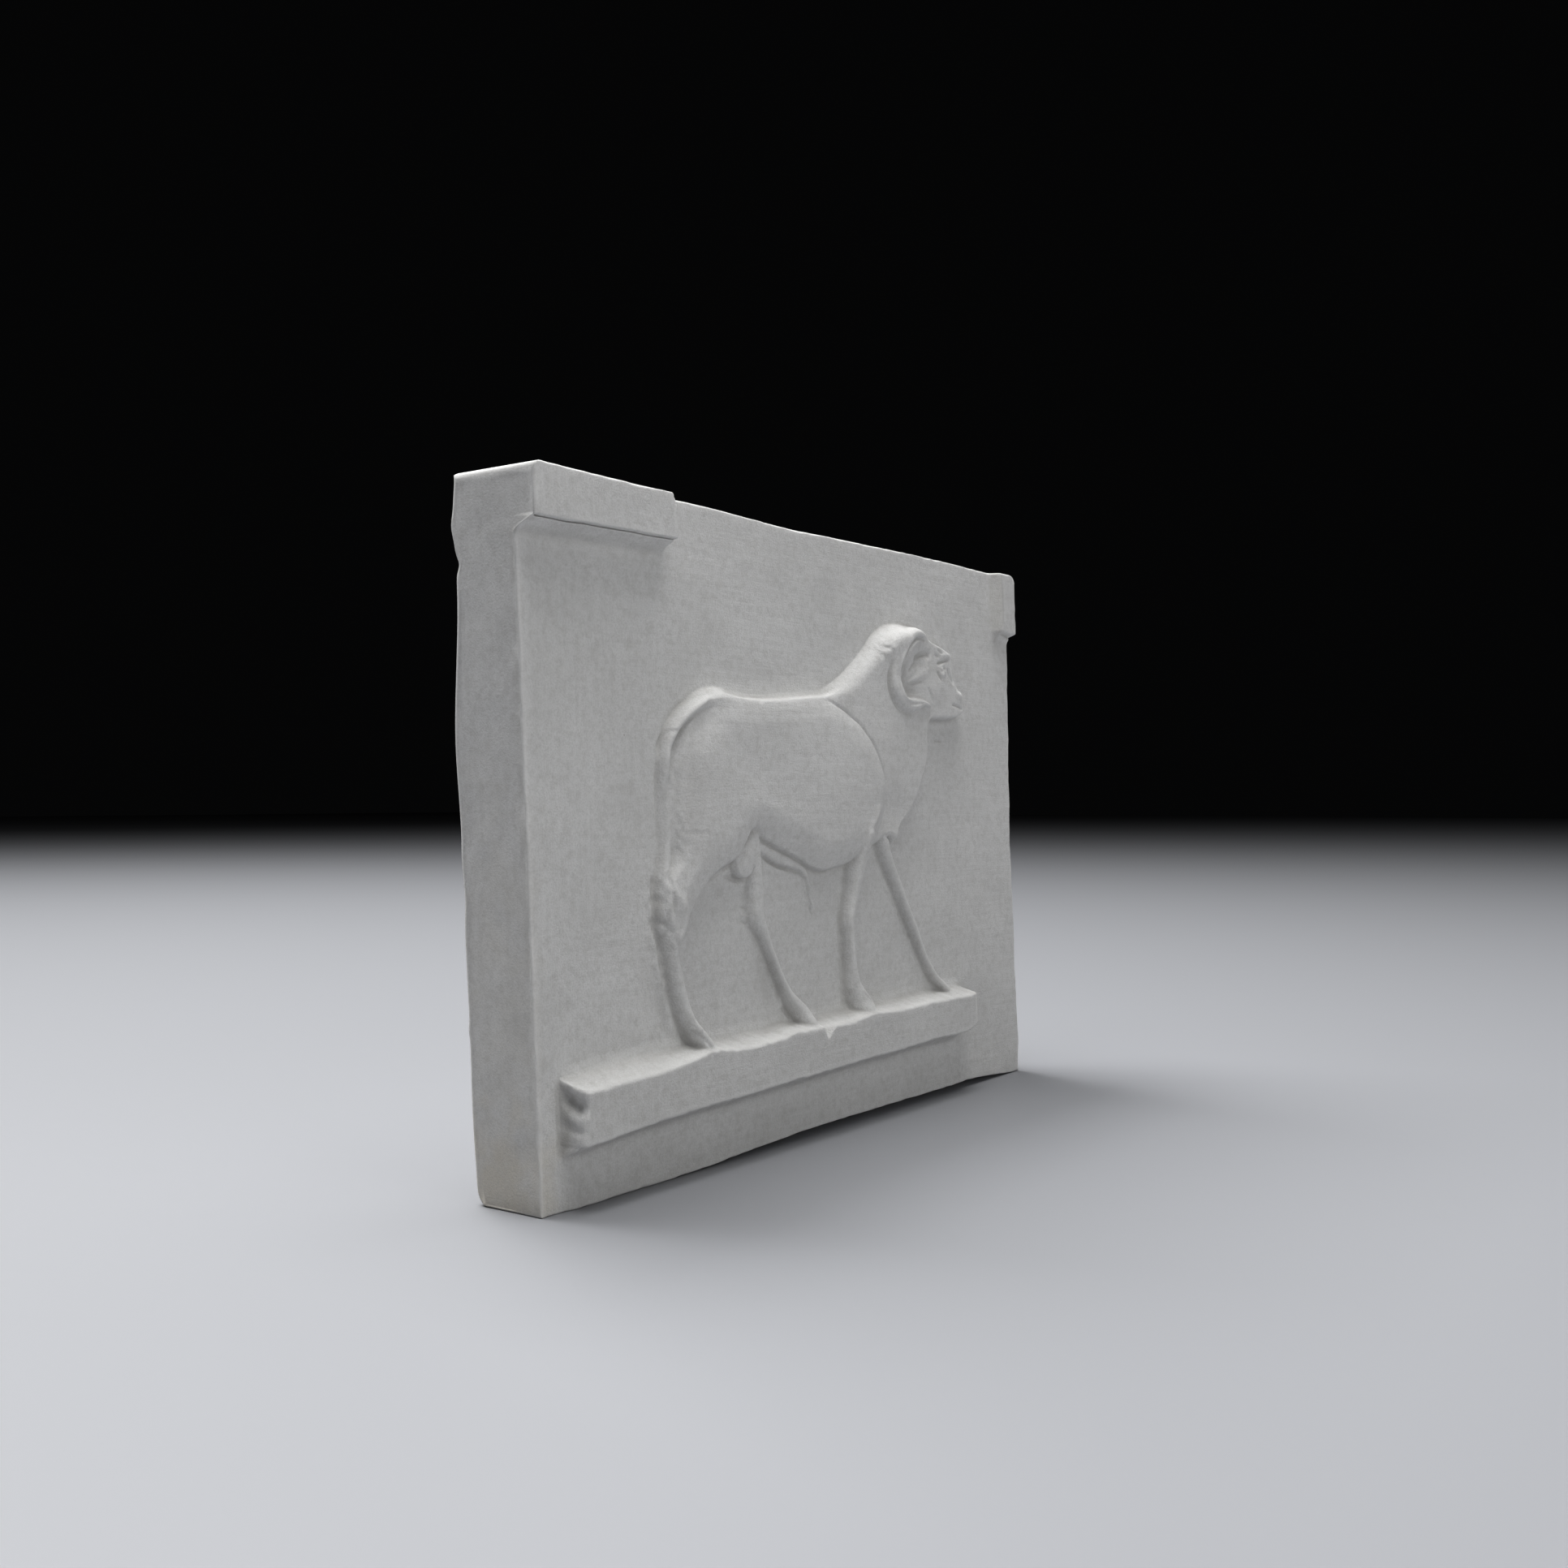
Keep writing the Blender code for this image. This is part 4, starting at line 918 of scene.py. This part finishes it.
def plaster_material():
    """Cast plaster: brushed, darkened in its hollows by painted shade and dirt, and rubbed on its edges."""
    material, tree, shader = new_material("aged plaster")
    shader.inputs["Metallic"].default_value = 0
    shader.inputs["Specular IOR Level"].default_value = 0.3
    place = add(tree, "ShaderNodeTexCoord").outputs["Object"]
    shade_dirt_wear = add(tree, "ShaderNodeAttribute", attribute_name="shade_dirt_wear").outputs["Fac"]
    along = add(tree, "ShaderNodeSeparateXYZ", {0: place}).outputs["X"]
    clouds = noise(tree, place, CLOUD_SIZE, 4, 0.55)
    grain = noise(tree, place, GRAIN_SIZE, 3, 0.65)
    streaks = brush_marks(tree, place, along)
    pit = pin_holes(tree, place)

    tone = blend(tree, ramp(tree, clouds, 0.3, 0.7), CAST_DARK, CAST_LIGHT)
    tone = blend(tree, ramp(tree, streaks, 0.35, 0.65, 0.0, 0.2), tone, STREAK_TONE)
    mottle = ramp(tree, noise(tree, place, MOTTLE_SIZE, 3, 0.6), 0.45, 0.7, 0.0, 0.4)
    tone = blend(tree, mottle, tone, MOTTLE_TONE)
    for centre, reach, strength, stain_tone in STAINS:
        share = maths(tree, "MULTIPLY", stain(tree, place, centre, reach), strength)
        tone = blend(tree, share, tone, stain_tone)
    tone = blend(tree, ramp(tree, grain, 0.42, 0.72, 0.0, 0.42), tone, GRAIN_TONE)
    # painted shade and dirt darken the hollows, creases and the places under the blocks
    tone = blend(tree, ramp(tree, shade_dirt_wear, 0.05, 0.9, 0.0, 0.45), tone, SHADE_AND_DIRT_TONE)
    tone = blend(tree, ramp(tree, shade_dirt_wear, -0.1, -0.8, 0.0, 0.35), tone, RUBBED_TONE)
    tone = blend(tree, maths(tree, "MULTIPLY", pit, 0.5), tone, PIT_TONE)
    tree.links.new(tone, shader.inputs["Base Color"])
    tree.links.new(ramp(tree, clouds, 0.3, 0.7, 0.78, 0.92), shader.inputs["Roughness"])

    relief = maths(tree, "MULTIPLY", streaks, STREAK_DEPTH)
    relief = maths(tree, "ADD", relief, maths(tree, "MULTIPLY", grain, GRAIN_DEPTH))
    relief = maths(tree, "SUBTRACT", relief, maths(tree, "MULTIPLY", pit, PIT_DEPTH))
    relief = maths(tree, "MULTIPLY", relief, ramp(tree, along, *SIDE_LIMITS, SIDE_BUMP, 1.0))
    bump = add(tree, "ShaderNodeBump", {"Strength": 0.8, "Distance": 1.0, "Height": relief})
    tree.links.new(bump.outputs[0], shader.inputs["Normal"])
    return material


def thin(thing, triangles):
    """Simplify an object's four-sided faces to this many triangles."""
    thinner = thing.modifiers.new("Fewer faces", "DECIMATE")
    thinner.ratio = min(1, triangles / (2 * len(thing.data.polygons)))
    graph = bpy.context.evaluated_depsgraph_get()
    thing.data = bpy.data.meshes.new_from_object(thing.evaluated_get(graph))
    thing.modifiers.clear()


def relief_plaque(cad_low, cad_high):
    """The whole cast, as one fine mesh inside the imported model's box."""
    across = stations(-HALF_FOOT, HALF_FOOT, FINE_LEFT, FINE_RIGHT, FINER_ACROSS)
    up = stations(0, HEIGHT, FINE_FOOT, FINE_TOP, FINER_UP)
    block, faces = closed_block(across, up)
    points = tablet_points(block)
    middle = (points.min(axis=0) + points.max(axis=0)) / 2
    middle[2] = 0
    cad_middle = np.array([cad_low[0] + cad_high[0], cad_low[1] + cad_high[1], 2 * cad_low[2]]) / 2
    mesh = bpy.data.meshes.new("plaque_cast")
    mesh.from_pydata((points - middle) * MM + cad_middle, [], faces)
    mesh.update()
    # painted shade in the hollows and under the blocks, with dirt and rubbed edges, kept on the points for
    # the material
    shade_dirt_wear = shade_dirt_wear_amounts(block, points, (len(up), len(across)))
    mesh.attributes.new("shade_dirt_wear", "FLOAT", "POINT").data.foreach_set("value", shade_dirt_wear)
    plaque = placed("plaque_cast", mesh)
    thin(plaque, MOST_TRIANGLES)
    plaque.data.shade_smooth()
    plaque.data.materials.append(plaster_material())
    return plaque


def floor():
    """A plain pale floor, wide enough for every view."""
    mesh = bpy.data.meshes.new("floor")
    half = FLOOR_SIZE / 2
    corners = [(-half, -half, 0), (half, -half, 0), (half, half, 0), (-half, half, 0)]
    mesh.from_pydata(corners, [], [(0, 1, 2, 3)])
    material, _, shader = new_material("pale floor")
    shader.inputs["Base Color"].default_value = FLOOR_TONE
    shader.inputs["Roughness"].default_value = 0.6
    mesh.materials.append(material)
    return placed("floor", mesh)


def towards(azimuth, elevation):
    """Direction from the tablet; azimuth 0 is straight in front and 90 is to the right."""
    a, e = math.radians(azimuth), math.radians(elevation)
    return Vector((math.sin(a) * math.cos(e), -math.cos(a) * math.cos(e), math.sin(e)))


def softbox(name, azimuth, elevation, distance, size, power, target):
    """A square area light that looks at the target."""
    light = bpy.data.lights.new(name, "AREA")
    light.size = size
    light.energy = power
    lamp = placed(name, light)
    back = towards(azimuth, elevation)
    lamp.location = target + back * distance
    lamp.rotation_euler = back.to_track_quat("Z", "Y").to_euler()


def camera():
    """The camera, low and well to the left of the tablet."""
    lens = bpy.data.cameras.new("camera")
    lens.lens = CAMERA_LENS
    lens.sensor_width = 36
    lens.clip_start = 0.01
    viewer = placed("camera", lens)
    viewer.location = CAMERA_PLACE
    back = towards(CAMERA_AZIMUTH, CAMERA_ELEVATION)
    viewer.rotation_euler = back.to_track_quat("Z", "Y").to_euler()
    bpy.context.scene.camera = viewer


def studio(centre):
    """Dark surroundings, with soft lamps turned to the tablet."""
    world = bpy.data.worlds.new("studio")
    world.use_nodes = True
    background = world.node_tree.nodes["Background"]
    background.inputs["Color"].default_value = WORLD_TONE
    background.inputs["Strength"].default_value = 0.002
    bpy.context.scene.world = world
    for lamp in LAMPS:
        softbox(*lamp, centre)
    bpy.context.scene.view_settings.view_transform = "Standard"


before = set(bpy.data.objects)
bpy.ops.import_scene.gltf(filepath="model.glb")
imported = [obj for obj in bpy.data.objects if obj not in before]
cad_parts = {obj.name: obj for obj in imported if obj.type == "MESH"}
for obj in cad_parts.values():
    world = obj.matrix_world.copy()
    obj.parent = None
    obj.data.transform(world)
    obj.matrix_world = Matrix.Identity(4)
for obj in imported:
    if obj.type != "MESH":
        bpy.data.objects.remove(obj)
cad_low, cad_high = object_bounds()
plaque = relief_plaque(np.array(cad_low), np.array(cad_high))
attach(plaque, "root")
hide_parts("relief_plaque")
floor()
studio((cad_low + cad_high) / 2)
camera()
